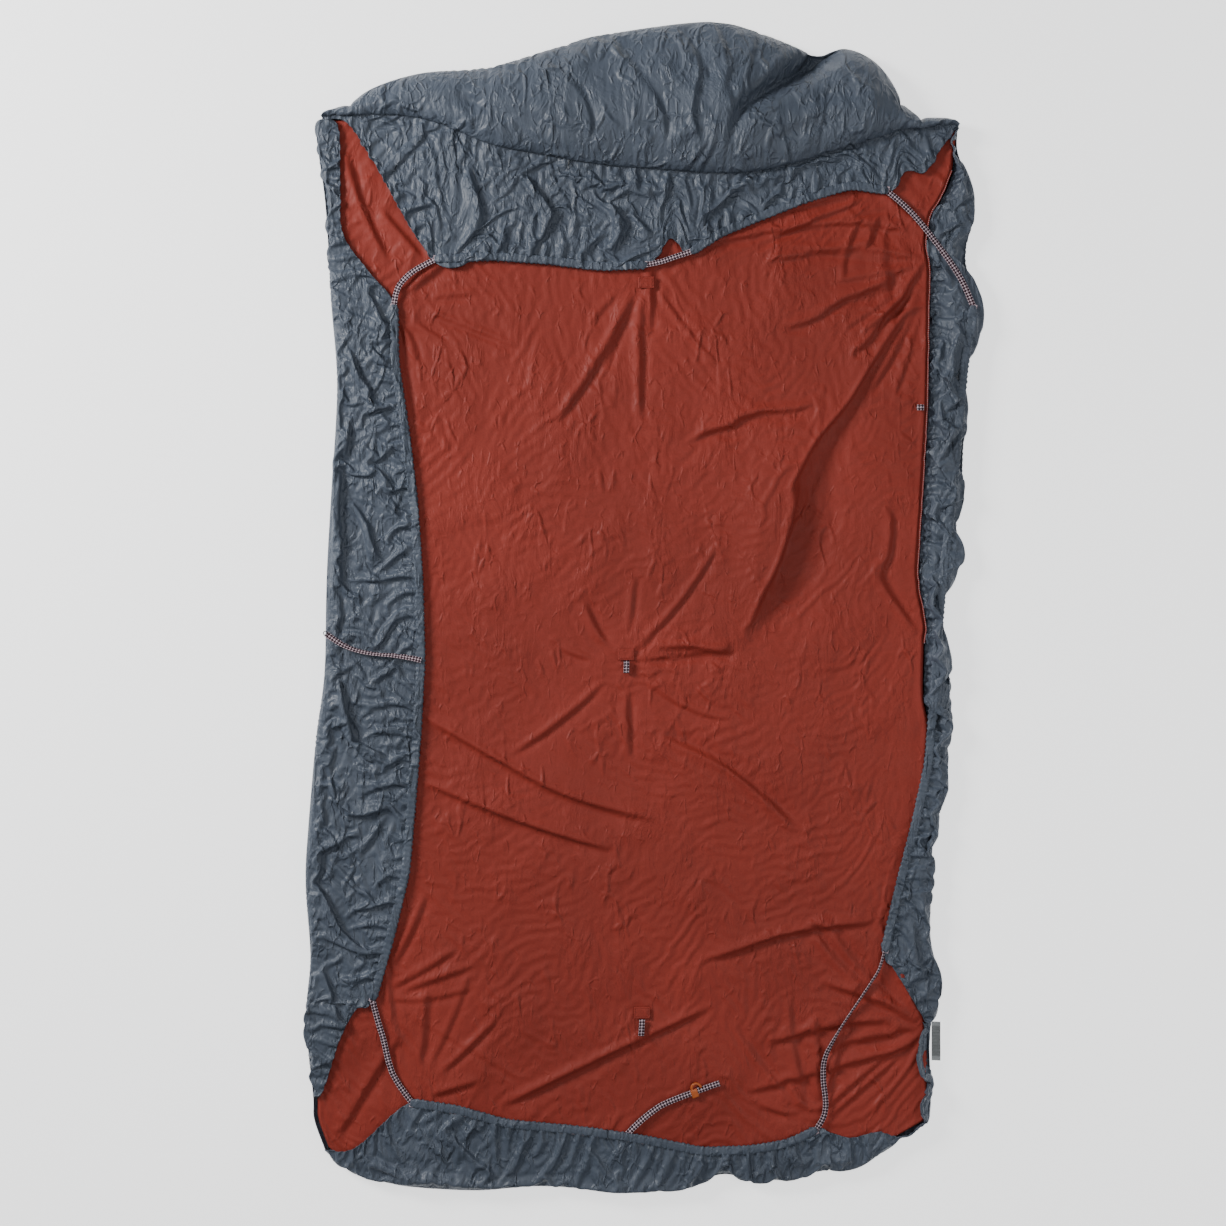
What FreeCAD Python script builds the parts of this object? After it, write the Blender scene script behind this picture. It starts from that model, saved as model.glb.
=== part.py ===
import FreeCAD, Part
import math
import os

# Camp quilt, millimetres. +X to the right, +Y towards the head end, +Z up.
# The origin is at the middle of the quilt's underside. The quilt lies open on its outer shell, lining up.

doc = FreeCAD.newDocument("camp_quilt")
Vector = FreeCAD.Vector

# ---------------------------------------------------------------- driving sizes
SIZES = {
    "quilt_width": 1184.0,        # over the widest places of the two sides
    "quilt_length": 2032.0,       # head end to foot
    "shell_thickness": 1.5,       # outer fabric, as a plate
    "batt_loft": 17.0,
    "lining_thickness": 1.5,
    "flap_thickness": 7.0,        # a gathered flap, as a slab
    "skirt_thickness": 2.0,       # shell fabric where it turns up round the edge
    "baffle_height": 75.0,        # crest of the puffed head end above the floor
    "baffle_front_height": 12.0,  # top of the puffed end's section where it meets the head edge
    "baffle_back_shoulder": 6.0,  # least rise of a section's crest above its ridge
    "baffle_wall": 2.0,
    "hem_width": 14.0,            # outside of the tunnel that the elastic runs in
    "hem_height": 6.0,
    "tape_width": 10.0,           # flat elastic
    "tape_thickness": 2.0,
    "tape_clearance": 0.3,        # elastic to tunnel, and elastic to hook, on each side
    "piping_width": 1.8,
    "patch_width": 28.0,
    "patch_length": 20.0,
    "patch_thickness": 1.0,
    "centre_loop_length": 22.0,
    "foot_loop_length": 29.0,
    "edge_loop_length": 13.0,
    "loop_gap": 1.6,              # between the two layers of a tie loop's tape
    "loop_clearance": 0.4,        # under a loop, and between its root and what it is sewn to
    "hook_sleeve_length": 12.0,
    "hook_wall": 1.4,             # plastic above and below the tape
    "hook_side": 2.2,             # plastic beside the tape
    "hook_eye_radius": 6.0,
    "hook_arm_width": 4.2,
    "hook_arm_step": 0.8,         # how much lower the arm is than the sleeve
    "hook_arm_root": 0.6,         # from the sleeve's tunnel to where the arm starts
    "hook_sleeve_overhang": 1.0,  # sleeve beyond the arm, towards the foot flap
    "hook_end_margin": 11.8,      # tape left beyond the hook when it is pulled right out
    "hook_travel_out": 18.0,      # towards the end of the foot pull
    "hook_travel_in": 22.0,       # towards the foot flap
    "label_width": 15.0,
    "label_length": 68.0,
    "label_thickness": 0.8,
    "label_clearance": 0.5,
    "label_lift": 1.0,            # label above the shell fabric
}
NOMINAL_WIDTH = 1184.0            # the width and length that the outline points below are given for
NOMINAL_LENGTH = 2032.0
ARC_SHARE = 0.45                  # of the shorter run beside a corner, taken up by the corner's arc
SWEEP_TOLERANCE = 0.02            # a swept tape's volume against its section times its length
TRIM_MARGIN = 6.0                 # how far the puffed end's sections run past the outline that trims them
TRIM_DEPTH = 10.0                 # and how far below the floor

sheet = doc.addObject("Spreadsheet::Sheet", "sizes")
for row, (alias, value) in enumerate(SIZES.items(), start=1):
    sheet.set("A%d" % row, alias)
    sheet.set("B%d" % row, str(value))
    sheet.setAlias("B%d" % row, alias)
doc.recompute()


def size(alias):
    return float(sheet.get(alias))


X_SCALE = size("quilt_width") / NOMINAL_WIDTH
Y_SCALE = size("quilt_length") / NOMINAL_LENGTH

# Levels in the stack, as expressions for the features and as numbers for the swept pieces.
BATT_BASE = "sizes.shell_thickness"
LINING_BASE = "sizes.shell_thickness + sizes.batt_loft"
DECK = "sizes.shell_thickness + sizes.batt_loft + sizes.lining_thickness"
SKIRT_HEIGHT = "sizes.batt_loft + sizes.lining_thickness"
deck = size("shell_thickness") + size("batt_loft") + size("lining_thickness")
flap_top = deck + size("flap_thickness")
tape_level = deck + size("hem_height") / 2

# ---------------------------------------------------------------- outline points (x, y)
# The outer edge runs down the left side, across the lower left corner and the foot, and up the right side.
LEFT_EDGE = [(-560, 857), (-571, 835), (-566, 785), (-555, 700), (-545, 540), (-534, 390), (-543, 220),
             (-552, 60), (-556, -110), (-571, -230), (-584, -380), (-589, -480), (-581, -610), (-589, -720),
             (-577, -850)]
CORNER_EDGE = [(-577, -850), (-575, -892), (-556, -946)]
FOOT_EDGE = [(-556, -946), (-520, -975), (-430, -1006), (-295, -1016), (-180, -1009), (-48, -1016),
             (67, -1011), (140, -989), (206, -1000), (311, -983), (381, -969), (460, -921), (500, -895)]
RIGHT_EDGE = [(500, -895), (505, -843), (503, -795), (502, -728), (513, -698), (519, -648), (503, -568),
              (508, -447), (502, -416), (526, -300), (538, -148), (526, -5), (545, 60), (559, 90), (549, 143),
              (558, 220), (566, 400), (582, 468), (592, 520), (568, 590), (566, 630), (577, 685), (568, 750),
              (551, 800), (552, 843)]
RIGHT_TIP = (552, 843)
LEFT_TIP = (-560, 857)
HEAD_CURVE = [(487, 850), (447, 874), (430, 913), (398, 953), (346, 976), (300, 966), (206, 998), (144, 1016),
              (66, 1014), (-74, 995), (-144, 974), (-267, 939), (-389, 927), (-468, 902), (-505, 876)]
# The crease where the puffed end meets the head flap, left to right.
RIDGE_CURVE = [(-480, 860), (-410, 857), (-353, 844), (-258, 808), (-179, 792), (-74, 774), (15, 767),
               (148, 759), (239, 771), (328, 797), (412, 822), (461, 836)]
# The lining's free right edge, foot to head.
LINING_RIGHT = [(500, -895), (499, -818), (493, -700), (480, -560), (484, -420), (497, -258), (500, -204),
                (491, -151), (492, -60), (494, -25), (481, 50), (484, 130), (491, 234), (497, 354),
                (500, 529), (501, 592), (495, 636), (502, 685), (519, 713), (540, 762), (552, 843)]

# Hem lines: the middle of each elastic tunnel, as runs that the sweep joins with arcs.
LEFT_HEM = [(-433, 529), (-432, 430), (-414, 310), (-399, 190), (-390, 50), (-386, -85), (-393, -220),
            (-403, -345), (-413, -460), (-438, -565), (-471, -682)]
HEAD_HEM_LEFT = [(-363, 608), (-262, 613), (-165, 606), (-75, 595), (8, 598)]
HEAD_HEM_RIGHT = [(84, 620), (132, 652), (204, 682), (285, 714), (362, 737), (428, 727)]
RIGHT_HEM = [(576, 527), (560, 425), (549, 300), (538, 180), (523, 60), (513, -60), (506, -170), (498, -270),
             (474, -380), (447, -485), (421, -598)]
FOOT_HEM = [(-405, -860), (-325, -872), (-235, -897), (-120, -907), (-5, -923), (105, -945), (190, -942),
            (255, -931), (304, -906)]

# The flaps' inner edges beyond the ends of their hems.
HEAD_FLAP_RIGHT_END = [RIGHT_TIP, (519, 800), (493, 762), (458, 760), (428, 727)]
HEAD_FLAP_GAP = [(8, 598), (14, 640), (36, 652), (60, 646), (84, 620)]
HEAD_FLAP_LEFT_END = [(-363, 608), (-515, 853), LEFT_TIP]
LEFT_FLAP_FOOT_END = [(-577, -850), (-556, -836), (-528, -752), (-499, -698), (-471, -682)]
LEFT_FLAP_HEAD_END = [(-433, 529), (-475, 584), (-522, 652), (-527, 740), (-530, 835), LEFT_TIP]
FOOT_FLAP_RIGHT_END = [(500, -895), (452, -920), (409, -911), (365, -921), (333, -914), (304, -906)]
FOOT_FLAP_LEFT_END = [(-405, -860), (-500, -938), (-556, -946)]
# The right flap's turned-over end: its fold, then its inner edge up to the end of the right hem.
TURNOVER_OUT = [(498, -270), (516, -300), (514, -360), (500, -410), (503, -460), (502, -560), (515, -648),
                (512, -700), (492, -718)]
TURNOVER_END = [(492, -718), (463, -669), (437, -627), (421, -598)]
TURNOVER_HEM_START = 7            # the point of RIGHT_HEM that the turned-over end begins at
PIPING_START = 8                  # the point of LINING_RIGHT where the right hem leaves the lining's edge

# Middles of the small pieces on the lining, and where the edge loop and the label are sewn.
PATCHES = {"head_patch": (6, 567), "centre_patch": (-29, -80), "foot_patch": (-1, -703)}
CENTRE_LOOP_ASIDE = 1.0
EDGE_LOOP_ROOT = (491, 349)
LABEL_ROOT = (505, -756)

# Free stretches of elastic, in the plane of the hems.
HEAD_LEFT_ROUTE = [(-433, 526), (-431, 553), (-413, 577), (-388, 595), (-360, 608)]
HEAD_RIGHT_ROUTE = [(425, 727), (453, 705), (484, 672), (513, 634), (540, 597), (562, 561), (576, 524)]
HEAD_CENTRE_ROUTE = [(5, 598), (29, 602), (53, 611), (87, 622)]
FOOT_LEFT_ROUTE = [(-471, -679), (-463, -713), (-451, -750), (-443, -789), (-431, -822), (-402, -860)]
FOOT_RIGHT_ROUTE = [(421, -595), (416, -623), (398, -651), (378, -681), (355, -714), (334, -748), (315, -784),
                    (314, -822), (320, -862), (315, -890), (301, -908)]
FOOT_PULL_ROUTE = [(-31, -919), (-12, -899), (14, -877), (44, -857), (134, -826)]
# The stretch that crosses the left flap lies flat on it.
LEFT_SIDE_ROUTE = [(-551, -44), (-528, -61), (-497, -74), (-462, -80), (-422, -82), (-385, -90)]


def at(x, y, z=0.0):
    """A nominal outline point at the quilt's real width and length."""
    return Vector(x * X_SCALE, y * Y_SCALE, z)


def inward(points, distance):
    """The same points moved to the left of their direction of travel by a fixed distance."""
    place = [at(x, y) for x, y in points]
    moved = []
    for i, p in enumerate(place):
        ahead = place[min(i + 1, len(place) - 1)]
        behind = place[max(i - 1, 0)]
        along = (ahead - behind).normalize()
        moved.append(Vector(p.x - along.y * distance, p.y + along.x * distance, 0))
    return moved


def curve(points):
    """One smooth edge through the points."""
    spline = Part.BSplineCurve()
    spline.interpolate(points)
    return spline


def smooth(points):
    return [curve([at(x, y) for x, y in points])]


def lines(vectors):
    return [Part.LineSegment(a, b) for a, b in zip(vectors, vectors[1:])]


def straight(points):
    """Straight edges through nominal outline points."""
    return lines([at(x, y) for x, y in points])


def tipped(points, first, last):
    """A smooth edge with a straight run to a sharp tip at each end."""
    return straight([first, points[0]]) + smooth(points) + straight([points[-1], last])


def origin_plane(body, role):
    return next(f for f in body.Origin.OriginFeatures if f.Role == role)


def add_sketch(body, name, geometry, level):
    sketch = body.newObject("Sketcher::SketchObject", name)
    sketch.AttachmentSupport = (origin_plane(body, "XY_Plane"), [""])
    sketch.MapMode = "FlatFace"
    if level:
        sketch.setExpression(".AttachmentOffset.Base.z", level)
    sketch.addGeometry(geometry, False)
    return sketch


def add_pad(body, name, geometry, level, thickness):
    """A slab of the outline, from a level, with a thickness that the sheet gives."""
    sketch = add_sketch(body, name + "_outline", geometry, level)
    pad = body.newObject("PartDesign::Pad", name + "_pad")
    pad.Profile = sketch
    pad.setExpression("Length", thickness)
    return pad


def new_body(name):
    body = doc.addObject("PartDesign::Body", name)
    body.Label = name
    return body


def slab(name, geometry, level, thickness):
    body = new_body(name)
    add_pad(body, name, geometry, level, thickness)
    return body


def boolean(kind, name, base, tool):
    result = doc.addObject("Part::" + kind, name)
    result.Label = name
    result.Base = base
    result.Tool = tool
    return result


def solid_feature(name, shape):
    feature = doc.addObject("Part::Feature", name)
    feature.Label = name
    feature.Shape = shape
    feature.Placement = FreeCAD.Placement()
    return feature


def route_wire(points, name):
    """Straight runs joined by tangent arcs, each taking up its share of the shorter run beside its corner."""
    edges = []
    radii = []
    start = points[0]
    for before, corner, after in zip(points, points[1:], points[2:]):
        run_in = corner - before
        run_out = after - corner
        half_turn = run_in.getAngle(run_out) / 2
        reach = ARC_SHARE * min(run_in.Length, run_out.Length)
        radii.append(reach / math.tan(half_turn))
        enter = corner - Vector(run_in).normalize() * reach
        leave = corner + Vector(run_out).normalize() * reach
        inside = (Vector(run_out).normalize() - Vector(run_in).normalize()).normalize()
        centre = corner + inside * (radii[-1] / math.cos(half_turn))
        middle = centre - inside * radii[-1]
        edges.append(Part.LineSegment(start, enter).toShape())
        edges.append(Part.Arc(enter, middle, leave).toShape())
        start = leave
    edges.append(Part.LineSegment(start, points[-1]).toShape())
    print("%s radii %s" % (name, [round(r) for r in radii]))
    return Part.Wire(edges)


def flat_sweep(points, width, thickness, name):
    """A flat section, level across, carried along the route."""
    wire = route_wire(points, name)
    along = Vector(points[1] - points[0]).normalize()
    across = along.cross(Vector(0, 0, 1)).normalize() * (width / 2)
    up = Vector(0, 0, thickness / 2)
    start = points[0]
    corners = [start + across + up, start - across + up, start - across - up, start + across - up]
    section = Part.makePolygon(corners + corners[:1])
    solid = wire.makePipeShell([section], True, False)
    expected = wire.Length * width * thickness
    if abs(solid.Volume / expected - 1) > SWEEP_TOLERANCE:
        raise ValueError("%s: swept volume %.0f, section times length %.0f" % (name, solid.Volume, expected))
    return solid


def on_level(points, level):
    return [at(x, y, level) for x, y in points]


# ---------------------------------------------------------------- shell, fill and lining
perimeter = LEFT_EDGE + CORNER_EDGE[1:] + FOOT_EDGE[1:]
inner = inward(perimeter, size("skirt_thickness"))
inner[0] = at(*LEFT_EDGE[0])
inner[-1] = at(*FOOT_EDGE[-1])
corner_start = len(LEFT_EDGE) - 1
foot_start = corner_start + len(CORNER_EDGE) - 1
inner_left = inner[:corner_start + 1]
inner_corner = inner[corner_start:foot_start + 1]
inner_foot = inner[foot_start:]

head_edge = tipped(HEAD_CURVE, RIGHT_TIP, LEFT_TIP)
ridge = tipped(RIDGE_CURVE, LEFT_TIP, RIGHT_TIP)
outer_outline = smooth(LEFT_EDGE) + smooth(CORNER_EDGE) + smooth(FOOT_EDGE) + smooth(RIGHT_EDGE) + head_edge
lining_outline = [curve(inner_left), curve(inner_corner), curve(inner_foot)] + smooth(LINING_RIGHT) + ridge

slab("outer_shell", outer_outline, "", "sizes.shell_thickness")
slab("insulation_batt", lining_outline, BATT_BASE, "sizes.batt_loft")
slab("lining_panel", lining_outline, LINING_BASE, "sizes.lining_thickness")

# ---------------------------------------------------------------- puffed head end
# Cross sections (x, back, front, share of the full height): back is at the ridge, front at the head edge.
BAFFLE_SECTIONS = [(-566, 850, 872, 0.30), (-470, 850, 912, 0.46), (-330, 836, 945, 0.66),
                   (-120, 776, 992, 0.90), (90, 756, 1026, 1.00), (215, 764, 1008, 0.84),
                   (300, 786, 980, 0.56), (372, 806, 978, 0.76), (450, 830, 912, 0.50), (560, 836, 862, 0.30)]
# Each section's shoulders: share of the way from ridge to head edge, and share of the rise to the crest.
BACK_SHOULDER = (0.22, 0.65)
FRONT_SHOULDER = (0.80, 0.55)
CREST_SHARE = 0.5
RIDGE_SHARE = 0.6                 # height of the ridge within the head flap's thickness


def section_profile(back, front, share, margin):
    """One D-shaped section as points (y, z): the ridge, a shoulder, the crest, a shoulder and the front."""
    back_top = deck + size("flap_thickness") * RIDGE_SHARE - margin
    front_top = size("baffle_front_height") - margin
    top = max(size("baffle_height") * share, back_top + size("baffle_back_shoulder")) - margin
    start = back * Y_SCALE - TRIM_MARGIN
    end = front * Y_SCALE + TRIM_MARGIN
    span = end - start
    return [Vector(start, back_top, 0),
            Vector(start + BACK_SHOULDER[0] * span, back_top + BACK_SHOULDER[1] * (top - back_top), 0),
            Vector(start + CREST_SHARE * span, top, 0),
            Vector(start + FRONT_SHOULDER[0] * span, front_top + FRONT_SHOULDER[1] * (top - front_top), 0),
            Vector(end, front_top, 0)]


def baffle_loft(name, margin):
    """A rounded ridge of D-shaped sections across the quilt, lowered by the margin."""
    body = new_body(name)
    sketches = []
    for i, (x, back, front, share) in enumerate(BAFFLE_SECTIONS):
        profile = section_profile(back, front, share, margin)
        base = [Vector(profile[-1].x, -TRIM_DEPTH, 0), Vector(profile[0].x, -TRIM_DEPTH, 0)]
        sketch = body.newObject("Sketcher::SketchObject", "%s_section_%d" % (name, i))
        sketch.AttachmentSupport = (origin_plane(body, "YZ_Plane"), [""])
        sketch.MapMode = "FlatFace"
        sketch.AttachmentOffset = FreeCAD.Placement(Vector(0, 0, x * X_SCALE), FreeCAD.Rotation())
        sketch.addGeometry([curve(profile)] + lines([profile[-1], *base, profile[0]]), False)
        sketches.append(sketch)
    doc.recompute()
    loft = body.newObject("PartDesign::AdditiveLoft", name + "_loft")
    loft.Profile = sketches[0]
    loft.Sections = sketches[1:]
    loft.Ruled = True
    body.Tip = loft
    return body


baffle_outline = head_edge + ridge
wall = size("baffle_wall")
inner_head = inward(HEAD_CURVE[1:-1], wall)
inner_ridge = inward(RIDGE_CURVE, wall)
fill_outline = [curve(inner_head), curve(inner_ridge)]
fill_outline += lines([inner_head[0], inner_ridge[-1]]) + lines([inner_head[-1], inner_ridge[0]])

baffle_block = slab("head_baffle_block", baffle_outline, BATT_BASE, "sizes.baffle_height")
fill_block = slab("head_fill_block", fill_outline, "sizes.shell_thickness + sizes.baffle_wall",
                  "sizes.baffle_height")
baffle_solid = boolean("Common", "head_baffle_solid", baffle_block, baffle_loft("head_baffle_ridge", 0.0))
boolean("Common", "head_baffle_fill", fill_block, baffle_loft("head_fill_ridge", wall))
doc.recompute()
boolean("Cut", "head_baffle_shell", baffle_solid, doc.getObject("head_baffle_fill"))

# ---------------------------------------------------------------- hems, elastic and flaps
HEMS = {"head_hem_left": HEAD_HEM_LEFT, "head_hem_right": HEAD_HEM_RIGHT, "left_hem": LEFT_HEM,
        "right_hem": RIGHT_HEM, "foot_hem": FOOT_HEM}
ELASTICS = {"head_hem_left": "head_hem_elastic_left", "head_hem_right": "head_hem_elastic_right",
            "left_hem": "left_hem_elastic", "right_hem": "right_hem_elastic", "foot_hem": "foot_hem_elastic"}
bore_width = size("tape_width") + 2 * size("tape_clearance")
bore_height = size("tape_thickness") + 2 * size("tape_clearance")
envelopes = {}
for name, hem_line in HEMS.items():
    line = on_level(hem_line, tape_level)
    envelope = flat_sweep(line, size("hem_width"), size("hem_height"), name)
    envelopes[name] = solid_feature(name + "_envelope", envelope)
    bore = solid_feature(name + "_bore", flat_sweep(line, bore_width, bore_height, name + " bore"))
    boolean("Cut", name, envelopes[name], bore)
    elastic = ELASTICS[name]
    solid_feature(elastic, flat_sweep(line, size("tape_width"), size("tape_thickness"), elastic))

head_flap_outline = (ridge + straight(HEAD_FLAP_RIGHT_END) + straight(HEAD_HEM_RIGHT[::-1])
                     + straight(HEAD_FLAP_GAP[::-1]) + straight(HEAD_HEM_LEFT[::-1])
                     + straight(HEAD_FLAP_LEFT_END))
head_flap_body = slab("head_flap_slab", head_flap_outline, DECK, "sizes.flap_thickness")

left_flap_outline = (smooth(LEFT_EDGE) + straight(LEFT_FLAP_FOOT_END) + straight(LEFT_HEM[::-1])
                     + straight(LEFT_FLAP_HEAD_END))
left_flap_body = slab("left_flap_slab", left_flap_outline, DECK, "sizes.flap_thickness")
left_skirt = smooth(LEFT_EDGE) + [curve(inner_left)] + lines([at(*LEFT_EDGE[-1]), inner_left[-1]])
add_pad(left_flap_body, "left_skirt", left_skirt, BATT_BASE, SKIRT_HEIGHT)

foot_flap_outline = (smooth(FOOT_EDGE) + straight(FOOT_FLAP_RIGHT_END) + straight(FOOT_HEM[::-1])
                     + straight(FOOT_FLAP_LEFT_END))
foot_flap_body = slab("foot_flap_slab", foot_flap_outline, DECK, "sizes.flap_thickness")
foot_skirt = (smooth(CORNER_EDGE) + smooth(FOOT_EDGE) + [curve(inner_corner), curve(inner_foot)]
              + lines([at(*CORNER_EDGE[0]), inner_corner[0]]))
add_pad(foot_flap_body, "foot_skirt", foot_skirt, BATT_BASE, SKIRT_HEIGHT)

right_band = smooth(LINING_RIGHT) + smooth(RIGHT_EDGE)
right_flap_body = slab("right_flap_slab", right_band, BATT_BASE, SKIRT_HEIGHT)
right_turnover = (straight(TURNOVER_OUT) + straight(TURNOVER_END)
                  + straight(RIGHT_HEM[TURNOVER_HEM_START:][::-1]))
add_pad(right_flap_body, "right_turnover", right_turnover, DECK, "sizes.flap_thickness")
doc.recompute()

head_flap_left = boolean("Cut", "head_flap_step", head_flap_body, envelopes["head_hem_left"])
boolean("Cut", "head_flap", head_flap_left, envelopes["head_hem_right"])
boolean("Cut", "left_flap", left_flap_body, envelopes["left_hem"])
boolean("Cut", "foot_flap", foot_flap_body, envelopes["foot_hem"])
boolean("Cut", "right_flap", right_flap_body, envelopes["right_hem"])

FREE_ROUTES = {"head_left_elastic": HEAD_LEFT_ROUTE, "head_right_elastic": HEAD_RIGHT_ROUTE,
               "head_centre_elastic": HEAD_CENTRE_ROUTE, "foot_left_elastic": FOOT_LEFT_ROUTE,
               "foot_right_elastic": FOOT_RIGHT_ROUTE, "foot_pull_elastic": FOOT_PULL_ROUTE}
for name, route in FREE_ROUTES.items():
    tape = flat_sweep(on_level(route, tape_level), size("tape_width"), size("tape_thickness"), name)
    solid_feature(name, tape)
side_level = flap_top + size("tape_thickness") / 2
solid_feature("left_side_elastic", flat_sweep(on_level(LEFT_SIDE_ROUTE, side_level), size("tape_width"),
                                              size("tape_thickness"), "left_side_elastic"))

# ---------------------------------------------------------------- piping along the lining's right edge
PIPING = LINING_RIGHT[PIPING_START:-1]
piping_in = inward(PIPING, size("piping_width"))
piping_out = [at(x, y) for x, y in PIPING]
piping_outline = ([curve(piping_out), curve(piping_in)] + lines([piping_out[0], piping_in[0]])
                  + lines([piping_out[-1], piping_in[-1]]))
slab("right_edge_piping", piping_outline, DECK, "sizes.piping_width")

# ---------------------------------------------------------------- patches and tie loops
def add_patch(name, middle):
    """A rectangle sewn on the lining."""
    body = new_body(name)
    sketch = add_sketch(body, name + "_outline", [], DECK)
    place = at(*middle)
    half_x = size("patch_width") / 2
    half_y = size("patch_length") / 2
    corners = [Vector(place.x + sx * half_x, place.y + sy * half_y, 0)
               for sx, sy in ((-1, -1), (1, -1), (1, 1), (-1, 1), (-1, -1))]
    sketch.addGeometry(lines(corners), False)
    pad = body.newObject("PartDesign::Pad", name + "_pad")
    pad.Profile = sketch
    pad.setExpression("Length", "sizes.patch_thickness")


for name, middle in PATCHES.items():
    add_patch(name, middle)

loop_height = 2 * size("tape_thickness") + size("loop_gap")
loop_level = deck + size("loop_clearance") + loop_height / 2


def add_loop(name, length_alias, root, turn):
    """A loop of tape, closed at both ends in its side view, with its root end's axis at the local origin.

    The side view is two slots one inside the other, drawn on the XZ plane and padded to the tape's width.
    The loop runs along its own +X from the root, and the placement turns it on the lining."""
    body = new_body(name)
    outer = loop_height / 2
    inner_radius = size("loop_gap") / 2
    reach = size(length_alias) - loop_height
    sketch = body.newObject("Sketcher::SketchObject", name + "_side")
    sketch.AttachmentSupport = (origin_plane(body, "XZ_Plane"), [""])
    sketch.MapMode = "FlatFace"
    for radius in (outer, inner_radius):
        sketch.addGeometry(lines([Vector(0, -radius, 0), Vector(reach, -radius, 0)]), False)
        sketch.addGeometry(Part.Arc(Vector(reach, -radius, 0), Vector(reach + radius, 0, 0),
                                    Vector(reach, radius, 0)), False)
        sketch.addGeometry(lines([Vector(reach, radius, 0), Vector(0, radius, 0)]), False)
        sketch.addGeometry(Part.Arc(Vector(0, radius, 0), Vector(-radius, 0, 0),
                                    Vector(0, -radius, 0)), False)
    pad = body.newObject("PartDesign::Pad", name + "_pad")
    pad.Profile = sketch
    pad.Midplane = True
    pad.setExpression("Length", "sizes.tape_width")
    body.Placement = FreeCAD.Placement(Vector(root.x, root.y, loop_level),
                                       FreeCAD.Rotation(Vector(0, 0, 1), turn))


root_gap = loop_height / 2 + size("loop_clearance")
half_patch = size("patch_length") / 2
centre = at(*PATCHES["centre_patch"])
foot = at(*PATCHES["foot_patch"])
edge_root = at(*EDGE_LOOP_ROOT)
add_loop("centre_tie_loop", "centre_loop_length",
         Vector(centre.x + CENTRE_LOOP_ASIDE, centre.y - half_patch - root_gap, 0), -90)
add_loop("foot_tie_loop", "foot_loop_length", Vector(foot.x, foot.y - half_patch - root_gap, 0), -90)
add_loop("edge_tie_loop", "edge_loop_length",
         Vector(edge_root.x - size("piping_width") - root_gap, edge_root.y, 0), 180)

# ---------------------------------------------------------------- orange hook on the foot pull
# Its own frame has the tape's middle line along X through the origin, where the sleeve's tunnel is centred.
pull_start = at(*FOOT_PULL_ROUTE[-2])
pull_end = at(*FOOT_PULL_ROUTE[-1])
pull_along = (pull_end - pull_start).normalize()
pull_turn = math.degrees(math.atan2(pull_along.y, pull_along.x))

sleeve_half = size("tape_width") / 2 + size("tape_clearance") + size("hook_side")
hook_height = size("tape_thickness") + 2 * size("tape_clearance") + 2 * size("hook_wall")
eye = size("hook_eye_radius")
arm = eye + size("hook_arm_width")
sleeve_back = -arm - size("hook_sleeve_overhang")
arm_foot = size("tape_width") / 2 + size("tape_clearance") + size("hook_arm_root")
hook_place = pull_end - pull_along * (size("hook_travel_out") + size("hook_end_margin") + arm)
last_run = (pull_end - pull_start).Length
straight_run = last_run - ARC_SHARE * min(last_run, (pull_start - at(*FOOT_PULL_ROUTE[-3])).Length)
hook_run = size("hook_travel_out") + size("hook_end_margin") + size("hook_travel_in") + arm - sleeve_back
if hook_run > straight_run:
    raise ValueError("the hook needs %.1f mm of straight tape and has %.1f" % (hook_run, straight_run))

hook = new_body("pull_hook")
sleeve = hook.newObject("PartDesign::AdditiveBox", "hook_sleeve")
sleeve.setExpression("Length", "sizes.hook_sleeve_length")
sleeve.Width = 2 * sleeve_half
sleeve.Height = hook_height
sleeve.AttachmentOffset = FreeCAD.Placement(Vector(sleeve_back, -sleeve_half, -hook_height / 2),
                                            FreeCAD.Rotation())
sleeve.AttachmentSupport = (origin_plane(hook, "XY_Plane"), [""])
sleeve.MapMode = "FlatFace"

hook_sketch = hook.newObject("Sketcher::SketchObject", "hook_arm_outline")
hook_sketch.AttachmentSupport = (origin_plane(hook, "XY_Plane"), [""])
hook_sketch.MapMode = "FlatFace"
hook_sketch.addGeometry(Part.Arc(Vector(arm, sleeve_half, 0), Vector(0, sleeve_half + arm, 0),
                                 Vector(-arm, sleeve_half, 0)), False)
hook_sketch.addGeometry(lines([Vector(-arm, sleeve_half, 0), Vector(-arm, arm_foot, 0),
                               Vector(-eye, arm_foot, 0), Vector(-eye, sleeve_half, 0)]), False)
hook_sketch.addGeometry(Part.Arc(Vector(-eye, sleeve_half, 0), Vector(0, sleeve_half + eye, 0),
                                 Vector(eye, sleeve_half, 0)), False)
tip = (arm - eye) / 2
hook_sketch.addGeometry(Part.Arc(Vector(eye, sleeve_half, 0), Vector(eye + tip, sleeve_half - tip, 0),
                                 Vector(arm, sleeve_half, 0)), False)
arm_pad = hook.newObject("PartDesign::Pad", "hook_arm")
arm_pad.Profile = hook_sketch
arm_pad.Midplane = True
arm_pad.Length = hook_height - size("hook_arm_step")

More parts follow.
